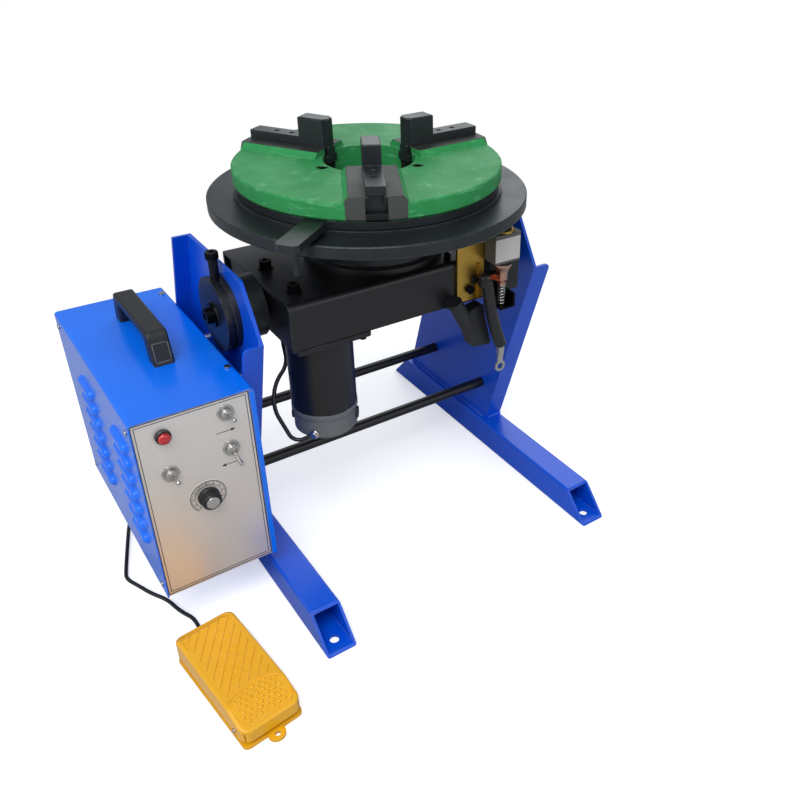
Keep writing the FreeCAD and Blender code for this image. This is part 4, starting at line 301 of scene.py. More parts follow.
def build_groups():
    """The effects that several finishes share."""
    groups = {}
    tree, given, out = new_group("soft_edges", [
        ("Radius", "NodeSocketFloat", 0.0006), ("Spots", "NodeSocketFloat", 90.0),
    ], [("Normal", "NodeSocketVector"), ("Wear", "NodeSocketFloat")])
    bevel = tree.nodes.new("ShaderNodeBevel")
    bevel.samples = 4
    tree.links.new(given.outputs["Radius"], bevel.inputs["Radius"])
    tree.links.new(bevel.outputs[0], out.inputs["Normal"])
    geometry = tree.nodes.new("ShaderNodeNewGeometry")
    dot = vector_node(tree, "DOT_PRODUCT", bevel.outputs[0], geometry.outputs["Normal"])
    place = tree.nodes.new("ShaderNodeTexCoord").outputs["Object"]
    spots = noise(tree, place, given.outputs["Spots"], 4.0)
    edge = math_node(tree, "SUBTRACT", 1.0, dot)
    edge = math_node(tree, "MULTIPLY", edge, 9.0, True)
    worn = math_node(tree, "SUBTRACT", spots, 0.45)
    worn = math_node(tree, "MULTIPLY", worn, 6.0, True)
    tree.links.new(math_node(tree, "MULTIPLY", edge, worn), out.inputs["Wear"])
    groups["edges"] = tree

    tree, given, out = new_group("cloudy", [
        ("Scale", "NodeSocketFloat", 20.0), ("Contrast", "NodeSocketFloat", 1.0),
    ], [("Value", "NodeSocketFloat"), ("Fine", "NodeSocketFloat")])
    place = tree.nodes.new("ShaderNodeTexCoord").outputs["Object"]
    broad = math_node(tree, "SUBTRACT", noise(tree, place, given.outputs["Scale"], 5.0, 0.6), 0.5)
    broad = math_node(tree, "MULTIPLY", broad, given.outputs["Contrast"])
    tree.links.new(math_node(tree, "ADD", broad, 0.5, True), out.inputs["Value"])
    fine = math_node(tree, "MULTIPLY", given.outputs["Scale"], 40.0)
    tree.links.new(noise(tree, place, fine, 2.0), out.inputs["Fine"])
    groups["clouds"] = tree

    tree, given, out = new_group("turned_rings", [
        ("Centre", "NodeSocketVector", (0, 0, 0)), ("Rings", "NodeSocketFloat", 900.0),
    ], [("Height", "NodeSocketFloat")])
    place = tree.nodes.new("ShaderNodeTexCoord").outputs["Object"]
    away = vector_node(tree, "SUBTRACT", place, given.outputs["Centre"])
    flat = vector_node(tree, "MULTIPLY", away, (1, 1, 0))
    across = tree.nodes.new("ShaderNodeCombineXYZ")
    tree.links.new(vector_node(tree, "LENGTH", flat), across.inputs["X"])
    tree.links.new(noise(tree, across.outputs[0], given.outputs["Rings"], 2.0), out.inputs["Height"])
    groups["rings"] = tree

    tree, given, out = new_group("brushed", [
        ("Stretch", "NodeSocketVector", (1, 1, 1)),
    ], [("Value", "NodeSocketFloat")])
    place = tree.nodes.new("ShaderNodeTexCoord").outputs["Object"]
    stretch = vector_node(tree, "MULTIPLY", place, given.outputs["Stretch"])
    tree.links.new(noise(tree, stretch, 1.0, 2.0), out.inputs["Value"])
    groups["brushed"] = tree

    tree, given, out = new_group("chuck_ways", [
        ("Centre", "NodeSocketVector", (0, 0, 0)),
    ], [("Across", "NodeSocketFloat"), ("Radius", "NodeSocketFloat")])
    place = tree.nodes.new("ShaderNodeTexCoord").outputs["Object"]
    away = vector_node(tree, "SUBTRACT", place, given.outputs["Centre"])
    across = 1.0
    for turn in (3.5, 123.5, 243.5):
        a = math.radians(turn)
        along = vector_node(tree, "DOT_PRODUCT", away, (math.cos(a), math.sin(a), 0))
        beside = vector_node(tree, "DOT_PRODUCT", away, (-math.sin(a), math.cos(a), 0))
        behind = math_node(tree, "LESS_THAN", along, 0.0)
        beside = math_node(tree, "ADD", math_node(tree, "ABSOLUTE", beside), behind)
        across = math_node(tree, "MINIMUM", beside, across)
    tree.links.new(across, out.inputs["Across"])
    flat = vector_node(tree, "MULTIPLY", away, (1, 1, 0))
    tree.links.new(vector_node(tree, "LENGTH", flat), out.inputs["Radius"])
    groups["ways"] = tree
    return groups


GROUPS = {}


class Finish:
    """A material under construction: a Principled surface, and the groups that feed it."""

    def __init__(self, name, base, roughness, metallic=0.0, coat=0.0):
        self.material = bpy.data.materials.new(name)
        self.material.use_nodes = True
        self.material.diffuse_color = (*base, 1)
        self.tree = self.material.node_tree
        self.surface = self.tree.nodes["Principled BSDF"]
        self.surface.inputs["Base Color"].default_value = (*base, 1)
        self.surface.inputs["Roughness"].default_value = roughness
        self.surface.inputs["Metallic"].default_value = metallic
        self.surface.inputs["Coat Weight"].default_value = coat
        self.surface.inputs["Coat Roughness"].default_value = 0.12
        self.base = tuple(base)
        self.roughness = roughness
        self.last_colour = None
        MATERIALS[name] = self.material

    def group(self, key, **values):
        """Place a shared effect with its own values."""
        item = self.tree.nodes.new("ShaderNodeGroup")
        item.node_tree = GROUPS[key]
        for label, number in values.items():
            item.inputs[label].default_value = number
        return item

    def ramp(self, source, low, high):
        """Map a 0 to 1 value onto a span."""
        item = self.tree.nodes.new("ShaderNodeMapRange")
        item.inputs["To Min"].default_value = low
        item.inputs["To Max"].default_value = high
        self.tree.links.new(source, item.inputs["Value"])
        return item.outputs["Result"]

    def tint(self, source, other):
        """Mix the colour so far towards another by a mask."""
        mix = self.tree.nodes.new("ShaderNodeMix")
        mix.data_type = "RGBA"
        mix.inputs[6].default_value = (*self.base, 1)
        if self.last_colour:
            self.tree.links.new(self.last_colour, mix.inputs[6])
        mix.inputs[7].default_value = (*other, 1)
        self.tree.links.new(source, mix.inputs[0])
        self.last_colour = mix.outputs[2]
        self.tree.links.new(self.last_colour, self.surface.inputs["Base Color"])
        return self

    def vary(self, scale, contrast, darker=0.8, rough=0.08):
        """Broad changes of tone and gloss over the surface."""
        clouds = self.group("clouds", Scale=scale, Contrast=contrast)
        self.tint(self.ramp(clouds.outputs["Value"], 1.0, 0.0), [c * darker for c in self.base])
        self.tree.links.new(
            self.ramp(clouds.outputs["Value"], self.roughness + rough, self.roughness - rough / 2),
            self.surface.inputs["Roughness"])
        return clouds

    def relief(self, source, strength, depth, radius=0.0006, spots=90.0, worn=None):
        """Rounded edges, a fine bump, and wear along the edges in another colour."""
        edges = self.group("edges", Radius=radius, Spots=spots)
        bump = self.tree.nodes.new("ShaderNodeBump")
        bump.inputs["Strength"].default_value = strength
        bump.inputs["Distance"].default_value = depth
        self.tree.links.new(source, bump.inputs["Height"])
        self.tree.links.new(edges.outputs["Normal"], bump.inputs["Normal"])
        self.tree.links.new(bump.outputs[0], self.surface.inputs["Normal"])
        if worn:
            self.tint(edges.outputs["Wear"], worn)
        return self

    def object_axis(self, axis):
        """One coordinate of the surface in the row frame."""
        place = self.tree.nodes.new("ShaderNodeTexCoord")
        split = self.tree.nodes.new("ShaderNodeSeparateXYZ")
        self.tree.links.new(place.outputs["Object"], split.inputs[0])
        return split.outputs[axis]


# ---------------------------------------------------------------- finishes

def enamel(name, base, roughness=0.22, worn=(0.30, 0.32, 0.35), peel=0.10, coat=0.5):
    """Sprayed enamel: orange peel, slight clouding, and bare metal showing on a few edges."""
    finish = Finish(name, base, roughness, 0.0, coat)
    clouds = finish.vary(14.0, 1.2, 0.84, 0.06)
    finish.relief(clouds.outputs["Fine"], peel, 0.0003, 0.0007, 60.0, worn)
    return finish


def bare_metal(name, base, roughness, darker=0.7, spots=120.0, radius=0.0004):
    """Plated or oiled metal with light handling marks."""
    finish = Finish(name, base, roughness, 1.0)
    clouds = finish.vary(60.0, 1.4, darker, 0.12)
    finish.relief(clouds.outputs["Fine"], 0.06, 0.0002, radius, spots)
    return finish


def blackened(name, base, centre_point, rings):
    """Blackened steel with turning marks and edges rubbed bright."""
    finish = Finish(name, base, 0.34, 0.55)
    finish.vary(26.0, 1.6, 0.62, 0.10)
    marks = finish.group("rings", Centre=centre_point, Rings=rings)
    finish.relief(marks.outputs["Height"], 0.22, 0.0002, 0.0008, 150.0, (0.16, 0.17, 0.18))
    return finish


def plastic(name, base, roughness=0.42, grain=0.25):
    """Moulded plastic with a fine grain."""
    finish = Finish(name, base, roughness)
    clouds = finish.vary(45.0, 0.8, 0.85, 0.05)
    finish.relief(clouds.outputs["Fine"], grain, 0.0002, 0.0005, 90.0)
    return finish


def chuck_green_finish():
    """Green enamel, with the ways' tops and ends bare, painted shade nearly black inside their
    T-slots, and the edge-wear spots coloured pale mint as a painted highlight.
    """
    finish = Finish("chuck_enamel", paint().chuck_green, 0.5)
    finish.surface.inputs["Specular IOR Level"].default_value = 0.25
    tree = finish.tree
    clouds = finish.vary(22.0, 2.0, 0.76, 0.10)
    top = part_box("chuck_body")[1][2]
    scuffs = finish.group("brushed", Stretch=(60.0, 60.0, 260.0))
    scuffed = math_node(tree, "SUBTRACT", scuffs.outputs["Value"], 0.60)
    scuffed = math_node(tree, "MULTIPLY", scuffed, 3.0, True)
    finish.tint(scuffed, (0.16, 0.50, 0.26))
    # painted highlight: the pale mint laid on the edge-wear mask stands in for the sky reflected
    # along the chuck's machined edges
    finish.relief(clouds.outputs["Fine"], 0.16, 0.0003, 0.0009, 70.0, (0.40, 0.66, 0.48))
    ways = finish.group("ways", Centre=centre("spindle"))
    height = finish.object_axis("Z")
    beside = math_node(tree, "LESS_THAN", ways.outputs["Across"], 0.031)
    end = math_node(tree, "MULTIPLY", beside,
                    math_node(tree, "GREATER_THAN", ways.outputs["Radius"], 0.1478))
    flat = math_node(tree, "GREATER_THAN", height, top - 0.0004)
    bare = math_node(tree, "MAXIMUM", flat, end)
    finish.tint(bare, paint().way_steel)
    # painted shade: the T-slot interiors below the way tops are tinted nearly black
    slot_painted_shade = math_node(tree, "MULTIPLY", math_node(tree, "LESS_THAN", ways.outputs["Across"], 0.0114),
                       math_node(tree, "LESS_THAN", height, top - 0.0006))
    finish.tint(slot_painted_shade, (0.010, 0.011, 0.011))
    tree.links.new(math_node(tree, "MULTIPLY", flat, 0.7), finish.surface.inputs["Metallic"])
    return finish


def panel_finish():
    """Brushed stainless sheet that warms towards the floor."""
    finish = Finish("panel_sheet", paint().panel, 0.30, 0.5)
    grain = finish.group("brushed", Stretch=(2600.0, 40.0, 30.0))
    finish.tint(finish.ramp(grain.outputs["Value"], 0.0, 0.5), [c * 0.82 for c in finish.base])
    low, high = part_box("control_panel")
    fall = finish.tree.nodes.new("ShaderNodeMapRange")
    fall.inputs["From Min"].default_value = high[2]
    fall.inputs["From Max"].default_value = low[2]
    fall.inputs["To Max"].default_value = 0.30
    finish.tree.links.new(finish.object_axis("Z"), fall.inputs["Value"])
    finish.tint(fall.outputs["Result"], (0.74, 0.50, 0.32))
    finish.tree.links.new(finish.ramp(grain.outputs["Value"], 0.24, 0.42),
                          finish.surface.inputs["Roughness"])
    finish.relief(grain.outputs["Value"], 0.06, 0.0001, 0.0004)
    return finish


def threaded(name, base, pitch):
    """A dark screw whose shank shows rings of thread along its length, with painted shade darkening
    the grooves between them.
    """
    finish = Finish(name, base, 0.34, 0.8)
    wave = finish.tree.nodes.new("ShaderNodeTexWave")
    wave.bands_direction = "Z"
    wave.inputs["Scale"].default_value = 2 * math.pi / pitch / 20
    place = finish.tree.nodes.new("ShaderNodeTexCoord")
    finish.tree.links.new(place.outputs["Object"], wave.inputs["Vector"])
    # painted shade: the thread grooves, where the wave is low, are darkened to 0.4 of the colour
    finish.tint(finish.ramp(wave.outputs["Fac"], 0.5, 0.0), [c * 0.4 for c in base])
    finish.relief(wave.outputs["Fac"], 0.5, 0.0004, 0.0004)
    return finish


def coloured_part(name, base, roughness, metallic=0.0, coat=0.0, scale=80.0):
    """A plain small part with a little unevenness."""
    finish = Finish(name, base, roughness, metallic, coat)
    clouds = finish.vary(scale, 1.0, 0.86, 0.05)
    finish.relief(clouds.outputs["Fine"], 0.05, 0.0002, 0.0003)
    return finish


DRESS = {
    "frame_enamel": "left_foot right_foot left_side_plate right_side_plate",
    "box_enamel": "control_box_cover control_box_chassis",
    "chuck_enamel": "chuck_body",
    "black_enamel": "tie_rods tilt_lock_hub right_pivot_hub housing_channel housing_plates "
                    "spindle_hub motor_flange motor_can",
    "table_steel": "worktable chuck_adaptor drive_wheel trunnions",
    "jaw_steel": "cam_lever jaw_1 jaw_2 jaw_3",
    "pinion_steel": "motor_pinion",
    "zinc": "tie_rod_nuts box_mounts spindle spindle_bearings power_toggle direction_toggle "
            "foot_toggle panel_switches earth_lug pedal_spring pedal_hinge_pin",
    "panel_sheet": "control_panel speed_dial",
    "dark_screws": "head_screws turntable_screws spring_shelf",
    "bright_screws": "cover_screws",
    "lock_thread": "tilt_lock_screw",
    "yellow_zinc": "brush_bracket",
    "black_plastic": "carry_handle speed_knob cable_glands cable_anchor",
    "holder_moulding": "brush_holder speed_controller",
    "motor_cap": "motor_end_cap",
    "carbon": "carbon_brush",
    "bronze": "brush_terminal",
    "lamp_bezel": "pilot_lamp",
    "pedal_enamel": "foot_switch_base foot_pedal",
    "sheath": "motor_cable",
}


class POSITIONER_OT_finishes(bpy.types.Operator):
    """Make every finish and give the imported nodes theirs"""
    bl_idname = "positioner.finishes"
    bl_label = "Finishes"

    def execute(self, context):
        look = paint()
        GROUPS.update(build_groups())
        enamel("frame_enamel", look.frame_blue, 0.30, coat=0.06)
        # painted light: the brighter box blue is a lit copy of the frame enamel
        enamel("box_enamel", look.box_blue_painted_lit, 0.22, coat=0.2, peel=0.06)
        enamel("black_enamel", look.black_enamel, 0.36, (0.12, 0.12, 0.13), 0.14, 0.0)
        enamel("pedal_enamel", look.pedal_yellow, 0.30, (0.95, 0.60, 0.16), 0.16, 0.3)
        enamel("motor_cap", look.motor_grey, 0.42, (0.4, 0.4, 0.4), 0.3, 0.0)
        chuck_green_finish()
        panel_finish()
        axis = centre("spindle")
        blackened("table_steel", look.table_black, axis, 900.0)
        blackened("jaw_steel", look.table_black, (axis.x + 3, axis.y - 2, 0), 500.0)
        blackened("pinion_steel", look.table_black, centre("motor_pinion"), 900.0)
        bare_metal("zinc", look.zinc, 0.26)
        bare_metal("bright_screws", look.zinc, 0.20)
        bare_metal("dark_screws", [c * 1.2 for c in look.plastic], 0.36, 0.6)
        bare_metal("yellow_zinc", look.yellow_zinc, 0.34, 0.72, 60.0)
        bare_metal("bronze", look.bronze, 0.32, 0.7, 60.0)
        bare_metal("copper", look.copper, 0.30, 0.55)
        threaded("lock_thread", [c * 1.3 for c in look.plastic], 0.00125)
        plastic("black_plastic", look.plastic)
        plastic("holder_moulding", look.holder_grey, 0.5)
        plastic("sheath", look.rubber, 0.36, 0.12)
        plastic("carbon", (0.012, 0.012, 0.013), 0.6)
        plastic("label_white", (0.62, 0.60, 0.58), 0.5, 0.1)
        coloured_part("lamp_lens", look.lamp_red, 0.16, 0.0, 0.8)
        coloured_part("lamp_bezel", (0.03, 0.03, 0.032), 0.35)
        coloured_part("ink", (0.012, 0.012, 0.014), 0.5)
        coloured_part("knob_cap", look.zinc, 0.26, 1.0)
        for finish, names in DRESS.items():
            for name in names.split():
                node = NODES[name]
                node.data.materials.clear()
                node.data.materials.append(MATERIALS[finish])
        return {"FINISHED"}


# ---------------------------------------------------------------- foot switch

PEDAL_PLACE = (Matrix.Translation((-0.299, -0.221, 0.0)) @ Matrix.Rotation(math.radians(6.4), 4, "Z"))
PEDAL_PROFILE = [(-0.075, 0.024), (-0.045, 0.034), (0.063, 0.038), (0.075, 0.032)]


def pedal_top(y):
    """Height of the pedal's top at a place along it."""
    for (y0, z0), (y1, z1) in zip(PEDAL_PROFILE, PEDAL_PROFILE[1:]):
        if y <= y1:
            return z0 + (z1 - z0) * (y - y0) / (y1 - y0)
    return PEDAL_PROFILE[-1][1]


def divider(x):
    """Where the arched divider crosses a line along the pedal."""
    return -0.031 - 0.009 * (x / 0.029) ** 2


def ridge(shape, points, width, height, closed=False):
    """A low ridge on the pedal's top along (x, y) points."""
    rings = []
    count = len(points)
    for i, (x, y) in enumerate(points):
        before = points[i - 1] if i or closed else points[i]
        after = points[(i + 1) % count] if i + 1 < count or closed else points[i]
        along = Vector((after[0] - before[0], after[1] - before[1])).normalized()
        side = Vector((-along.y, along.x))
        ring = []
        for reach, rise in ((-0.5, -0.0004), (-0.22, height), (0.22, height), (0.5, -0.0004)):
            px, py = x + side.x * reach * width, y + side.y * reach * width
            ring.append((px, py, pedal_top(py) + rise))
        rings.append(ring)
    shape.rings(rings, closed, PEDAL_PLACE)


def rounded_rectangle(half_x, low_y, high_y, radius, steps=5):
    """Points round a rectangle with rounded corners."""
    points = []
    bends = ((half_x, high_y, 0), (-half_x, high_y, 90), (-half_x, low_y, 180), (half_x, low_y, 270))
    for x, y, start in bends:
        cx = x - math.copysign(radius, x)
        cy = y - radius if start in (0, 90) else y + radius
        for i in range(steps + 1):
            turn = math.radians(start + 90 * i / steps)
            points.append((cx + radius * math.cos(turn), cy + radius * math.sin(turn)))
    return points


RIB_TILT = math.radians(38)
RIB_MIDDLE = 0.015
RIB_LIMIT_X = 0.0262
RIB_LIMIT_Y = 0.0665
RIB_CORNER = 0.008
ARCH_HALF = 0.0282
STUD_ROWS = 9
STUD_FIRST_ROW = -0.0650
STUD_LIMIT_X = 0.0250


def on_tread(x, y):
    """True where the diagonal ribs run."""
    if abs(x) > RIB_LIMIT_X or y > RIB_LIMIT_Y or y < divider(x) + 0.0030:
        return False
    corner_x = abs(x) - (RIB_LIMIT_X - RIB_CORNER)
    corner_y = y - (RIB_LIMIT_Y - RIB_CORNER)
    return corner_x < 0 or corner_y < 0 or math.hypot(corner_x, corner_y) < RIB_CORNER


def pedal_ribs(size):
    """Crossed diagonal ribs, the rim round the tread and the arched divider."""
    tread = Shape()
    for slope, width, height in ((1, size.rib_width, size.rib_height),
                                 (-1, size.rib_width * 0.55, size.rib_height * 0.6)):
        along = Vector((math.sin(RIB_TILT) * slope, math.cos(RIB_TILT)))
        across = Vector((along.y, -along.x))
        for k in range(-12, 13):
            start = across * (k * size.rib_pitch) + Vector((0, RIB_MIDDLE))
            run = [start + along * (i * MM) for i in range(-90, 91)]
            run = [(p.x, p.y) for p in run if on_tread(p.x, p.y)]
            if len(run) > 4:
                ridge(tread, run[::max(1, len(run) // 8)] + [run[-1]], width, height)
    ridge(tread, rounded_rectangle(0.0288, -0.0705, 0.0700, 0.009), 0.0018, 0.0010, True)
    xs = [-ARCH_HALF + 2 * ARCH_HALF * i / 14 for i in range(15)]
    ridge(tread, [(x, divider(x)) for x in xs], 0.0022, 0.0011)
    tread.piece("pedal_ribs", "pedal_enamel", "pedal")


def pedal_studs(size):
    """Staggered rows of studs below the divider."""
    studs = Shape()
    pitch = size.stud_pitch
    radius = size.stud_radius
    for row in range(STUD_ROWS):
        y = STUD_FIRST_ROW + row * pitch * 0.72
        for column in range(-5, 6):
            x = (column + 0.5 * (row % 2)) * pitch
            if abs(x) > STUD_LIMIT_X or y > divider(x) - 0.0035:
                continue
            place = PEDAL_PLACE @ Matrix.Translation((x, y, pedal_top(y) - 0.0004))
            studs.turned([(radius, 0), (radius * 0.75, 0.0011), (radius * 0.3, 0.0016)], 10, place)
    studs.piece("pedal_studs", "pedal_enamel", "pedal", True)


class POSITIONER_OT_pedal_tread(bpy.types.Operator):
    """Add the ribs, studs, rim and arched divider on the pedal"""
    bl_idname = "positioner.pedal_tread"
    bl_label = "Pedal tread"

    def execute(self, context):
        size = sizes()
        pedal_ribs(size)
        pedal_studs(size)
        return {"FINISHED"}


# ---------------------------------------------------------------- control box

PANEL_WIDTH = 122.0
PANEL_HEIGHT = 225.5
BOX_LEFT = -0.329
BOX_BOTTOM = 0.063
LAMP_PLACE = (30, 203)
TOGGLE_PLACES = ((30, 157), (94, 207), (94, 163))
DIAL_PLACE = (62, 113)
DIAL_SWEEP = 140
DIAL_INSIDE = 14.2
DIAL_OUTSIDE = 18.9
DIAL_TICKS = 31
DIAL_SHEET = 0.00085


def panel_point(x, z):
    """A point on the front panel's face, in millimetres from the box's lower left corner."""
    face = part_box("control_panel")[0][1]
    return Vector((BOX_LEFT + x * MM, face, BOX_BOTTOM + z * MM))


def panel_frame(place):
    """The matrix that sets a turned form upright on the panel at an (x, z) place."""
    return Matrix.Translation(panel_point(*place)) @ Matrix.Rotation(math.radians(90), 4, "X")


def dial_point(radius, turn):
    """A place on the speed dial, by its radius and its turn from the top in degrees."""
    a = math.radians(turn)
    return DIAL_PLACE[0] + radius * math.sin(a), DIAL_PLACE[1] + radius * math.cos(a)


def panel_strip(shape, start, end, width):
    """A printed line on the panel between two (x, z) points in millimetres."""
    a, b = panel_point(*start), panel_point(*end)
    side = (b - a).normalized().cross(Vector((0, 1, 0))) * width / 2
    out = Vector((0, -0.00012, 0))
    shape.rings([[a - side, a + side, b + side, b - side],
                 [a - side + out, a + side + out, b + side + out, b - side + out]])


def arrow(shape, tail, tip):
    """A printed arrow on the panel."""
    panel_strip(shape, tail, tip, 0.0007)
    back = 4.2 if tip[0] < tail[0] else -4.2
    for rise in (-1.3, 1.3):
        panel_strip(shape, (tip[0] + back, tip[1] + rise), tip, 0.0008)
    panel_strip(shape, (tip[0] + back * 0.9, tip[1]), (tip[0] + back * 0.2, tip[1]), 0.0016)


def panel_marks(size):
    """The printed border, the two arrows and the dial's scale."""
    marks = Shape()
    for inset, width in ((2.2, 0.0009), (5.2, size.line_width)):
        right, high = PANEL_WIDTH - inset, PANEL_HEIGHT - inset
        border = [(inset, inset), (right, inset), (right, high), (inset, high)]
        for a, b in zip(border, border[1:] + border[:1]):
            panel_strip(marks, a, b, width)
    arrow(marks, (81, 184.5), (101, 184.5))
    arrow(marks, (100, 143.5), (82, 143.5))
    for radius, width in ((DIAL_INSIDE, 0.0004), (DIAL_OUTSIDE, 0.0006)):
        ring = [dial_point(radius, a) for a in range(-DIAL_SWEEP, DIAL_SWEEP + 1, 7)]
        for a, b in zip(ring, ring[1:]):
            panel_strip(marks, a, b, width)
    for i in range(DIAL_TICKS):
        turn = -DIAL_SWEEP + 2 * DIAL_SWEEP * i / (DIAL_TICKS - 1)
        long_tick = i % 3 == 0
        foot = DIAL_INSIDE if long_tick else DIAL_OUTSIDE - size.tick_length / MM
        panel_strip(marks, dial_point(foot, turn), dial_point(DIAL_OUTSIDE, turn),
                    0.0006 if long_tick else 0.0004)
    lift = Matrix.Translation((0, -DIAL_SHEET, 0))
    reach = (DIAL_OUTSIDE + 0.7) * MM
    marks.vertices = [lift @ v if (v - panel_point(*DIAL_PLACE)).length < reach else v
                      for v in marks.vertices]
    marks.piece("panel_marks", "ink", "base")


def pilot_lamp():
    """The domed lens of the pilot lamp and the collar round it."""
    place = panel_frame(LAMP_PLACE)
    lens = Shape()
    lens.turned([(0.0062, 0.0040), (0.0062, 0.0066), (0.0056, 0.0081), (0.0036, 0.0091),
                 (0.0006, 0.0095)], 28, place)
    lens.piece("lamp_lens", "lamp_lens", "base", True)
    collar = Shape()
    collar.turned([(0.0074, 0.0042), (0.0074, 0.0050), (0.0066, 0.0054), (0.0062, 0.0048)], 28, place)
    collar.piece("lamp_collar", "ink", "base", True)


def knob_details(size):
    """Flutes round the speed knob, its bright cap and its pointer line."""
    place = panel_frame(DIAL_PLACE)
    flutes = Shape()
    for i in range(size.knob_flutes):
        turn = Matrix.Rotation(2 * math.pi * i / size.knob_flutes, 4, "Z")
        flutes.turned([(0.0004, 0.0040), (0.0008, 0.0046), (0.0008, 0.0124), (0.0004, 0.0134)],
                      6, place @ turn @ Matrix.Translation((0.0098, 0, 0)))
    flutes.piece("knob_flutes", "black_plastic", "knob", True)
    cap = Shape()
    cap.turned([(0.0070, 0.0146), (0.0070, 0.0154), (0.0066, 0.0158), (0.0010, 0.0160)], 40, place)
    cap.piece("knob_cap", "knob_cap", "knob")
    pointer = Shape()
    pointer.block((-0.0004, 0.0088, 0.0040), (0.0004, 0.0112, 0.0043), place)
    pointer.piece("knob_pointer", "label_white", "knob")


def toggle_washers():
    """A washer under each toggle's nut, and the rings of thread on its bush."""
    washers = Shape()
    bush, pitch = 0.0052, 0.0011
    for x, z in TOGGLE_PLACES:
        place = panel_frame((x, z))
        washers.turned([(0.0088, 0.0), (0.0088, 0.0006), (0.0080, 0.0009), (0.0056, 0.0009),
                        (0.0056, 0.0)], 30, place)
        for k in range(4):
            rise = 0.0034 + k * pitch
            washers.turned([(bush + 0.0004, rise), (bush + 0.0007, rise + 0.0004),
                            (bush + 0.0004, rise + 0.0008)], 24, place)
    washers.piece("toggle_washers", "zinc", "base", True)


def side_screws():
    """Pan head screws near the corners of both sides of the box."""
    screws = Shape()
    low, high = corners("control_box_cover")
    left = Matrix.Rotation(math.radians(-90), 4, "Y")
    for y in (low.y + 0.012, high.y - 0.012):
        for z in (low.z + 0.012, high.z - 0.014):
            for x, turn in ((BOX_LEFT, left), (high.x, left.inverted())):
                screws.turned([(0.0034, 0), (0.0033, 0.0009), (0.0024, 0.0017), (0.0008, 0.0020)],
                              18, Matrix.Translation((x, y, z)) @ turn)
    screws.piece("box_side_screws", "bright_screws", "base", True)


class POSITIONER_OT_panel(bpy.types.Operator):
    """Add the printed lines, lamp lens, knob details, toggle washers and side screws of the box"""
    bl_idname = "positioner.panel"
    bl_label = "Panel fittings"

    def execute(self, context):
        size = sizes()
        panel_marks(size)
        pilot_lamp()
        knob_details(size)
        toggle_washers()
        side_screws()
        return {"FINISHED"}


class POSITIONER_OT_handle(bpy.types.Operator):
    """Add the moulded rims on the carrying handle's feet, in grey as painted highlight lines"""
    bl_idname = "positioner.handle"
    bl_label = "Handle details"

    def execute(self, context):
        low, high = corners("carry_handle")
        middle = centre("carry_handle")
        trim = Shape()
        for side in (-1, 1):
            bottom = Vector((middle.x, middle.y + side * 0.0703, low.z + 0.004))
            top = Vector((middle.x, middle.y + side * 0.0647, high.z - 0.0120))
            border = [bottom + Vector((-0.008, 0, 0)), bottom + Vector((0.008, 0, 0)),
                      top + Vector((0.008, 0, 0)), top + Vector((-0.008, 0, 0))]
            for a, b in zip(border, border[1:] + border[:1]):
                trim.sweep([a.lerp(b, t / 4) for t in range(5)], 0.0008, 8)
        # The rims are raised on the feet; their grey moulding colour is a painted highlight line on
        # the black handle.
        trim.piece("handle_rims", "holder_moulding", "base", True)
        return {"FINISHED"}


# ---------------------------------------------------------------- base

PLATE_THICKNESS = 0.004
PLATE_FOOT_FRONT = -0.008


class POSITIONER_OT_welds(bpy.types.Operator):
    """Run weld beads where the side plates stand on the feet and along their flanges"""
    bl_idname = "positioner.welds"
    bl_label = "Weld beads"

    def execute(self, context):
        size = sizes()
        for side, plate, foot in ((-1, "left_side_plate", "left_foot"),
                                  (1, "right_side_plate", "right_foot")):
            beads = Shape()
            low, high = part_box(plate)
            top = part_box(foot)[1][2]
            inner = high[0] if side < 0 else low[0]
            outer = low[0] if side < 0 else high[0]
            web = inner + side * PLATE_THICKNESS
            rear = high[1]
            front = PLATE_FOOT_FRONT
            runs = [((inner, front + PLATE_THICKNESS, top), (inner, rear - PLATE_THICKNESS, top)),
                    ((web, front + 2 * PLATE_THICKNESS, top), (web, rear - 2 * PLATE_THICKNESS, top)),
                    ((web, front, top), (outer, front, top)), ((web, rear, top), (outer, rear, top))]
            for a, b in runs:
                a, b = Vector(a), Vector(b)
                steps = max(6, int((b - a).length / size.weld_ripple * 4))
                points = [a.lerp(b, i / steps) for i in range(steps + 1)]
                radii = [size.weld_radius * (0.86 + 0.14 * math.cos(math.pi / 2 * i)) for i in
                         range(steps + 1)]
                beads.sweep(points, radii, 8)
            beads.piece(foot + "_welds", "frame_enamel", "base", True)
        return {"FINISHED"}


# ---------------------------------------------------------------- head

def grease_nipple():
    """The nipple on the housing's top."""
    nipple = Shape()
    nipple.turned([(0.0045, 0), (0.0045, 0.006), (0.0022, 0.007), (0.0022, 0.011),
                   (0.0034, 0.013), (0.0030, 0.016), (0.0012, 0.018)], 6,
                  Matrix.Translation((0.056, -0.090, corners("housing_channel")[1].z)))
    nipple.piece("grease_nipple", "dark_screws", "tilt_head")


def motor_screws(middle, flange_bottom, cap_bottom):
    """Four screws under the motor's flange and four in its end cap."""
    screws = Shape()
    for x in (-0.0365, 0.0365):
        for y in (-0.0365, 0.0365):
            place = Matrix.Translation((middle.x + x, middle.y + y, flange_bottom - 0.005))
            screws.turned([(0.0042, 0), (0.0045, 0.0006), (0.0045, 0.0050)], 20, place)
    for i in range(4):
        turn = math.radians(45 + 90 * i)
        place = Matrix.Translation((middle.x + 0.025 * math.cos(turn),
                                    middle.y + 0.025 * math.sin(turn), cap_bottom - 0.002))
        screws.turned([(0.0028, 0), (0.0034, 0.0006), (0.0034, 0.0020)], 16, place)
    screws.piece("motor_screws", "dark_screws", "tilt_head", True)


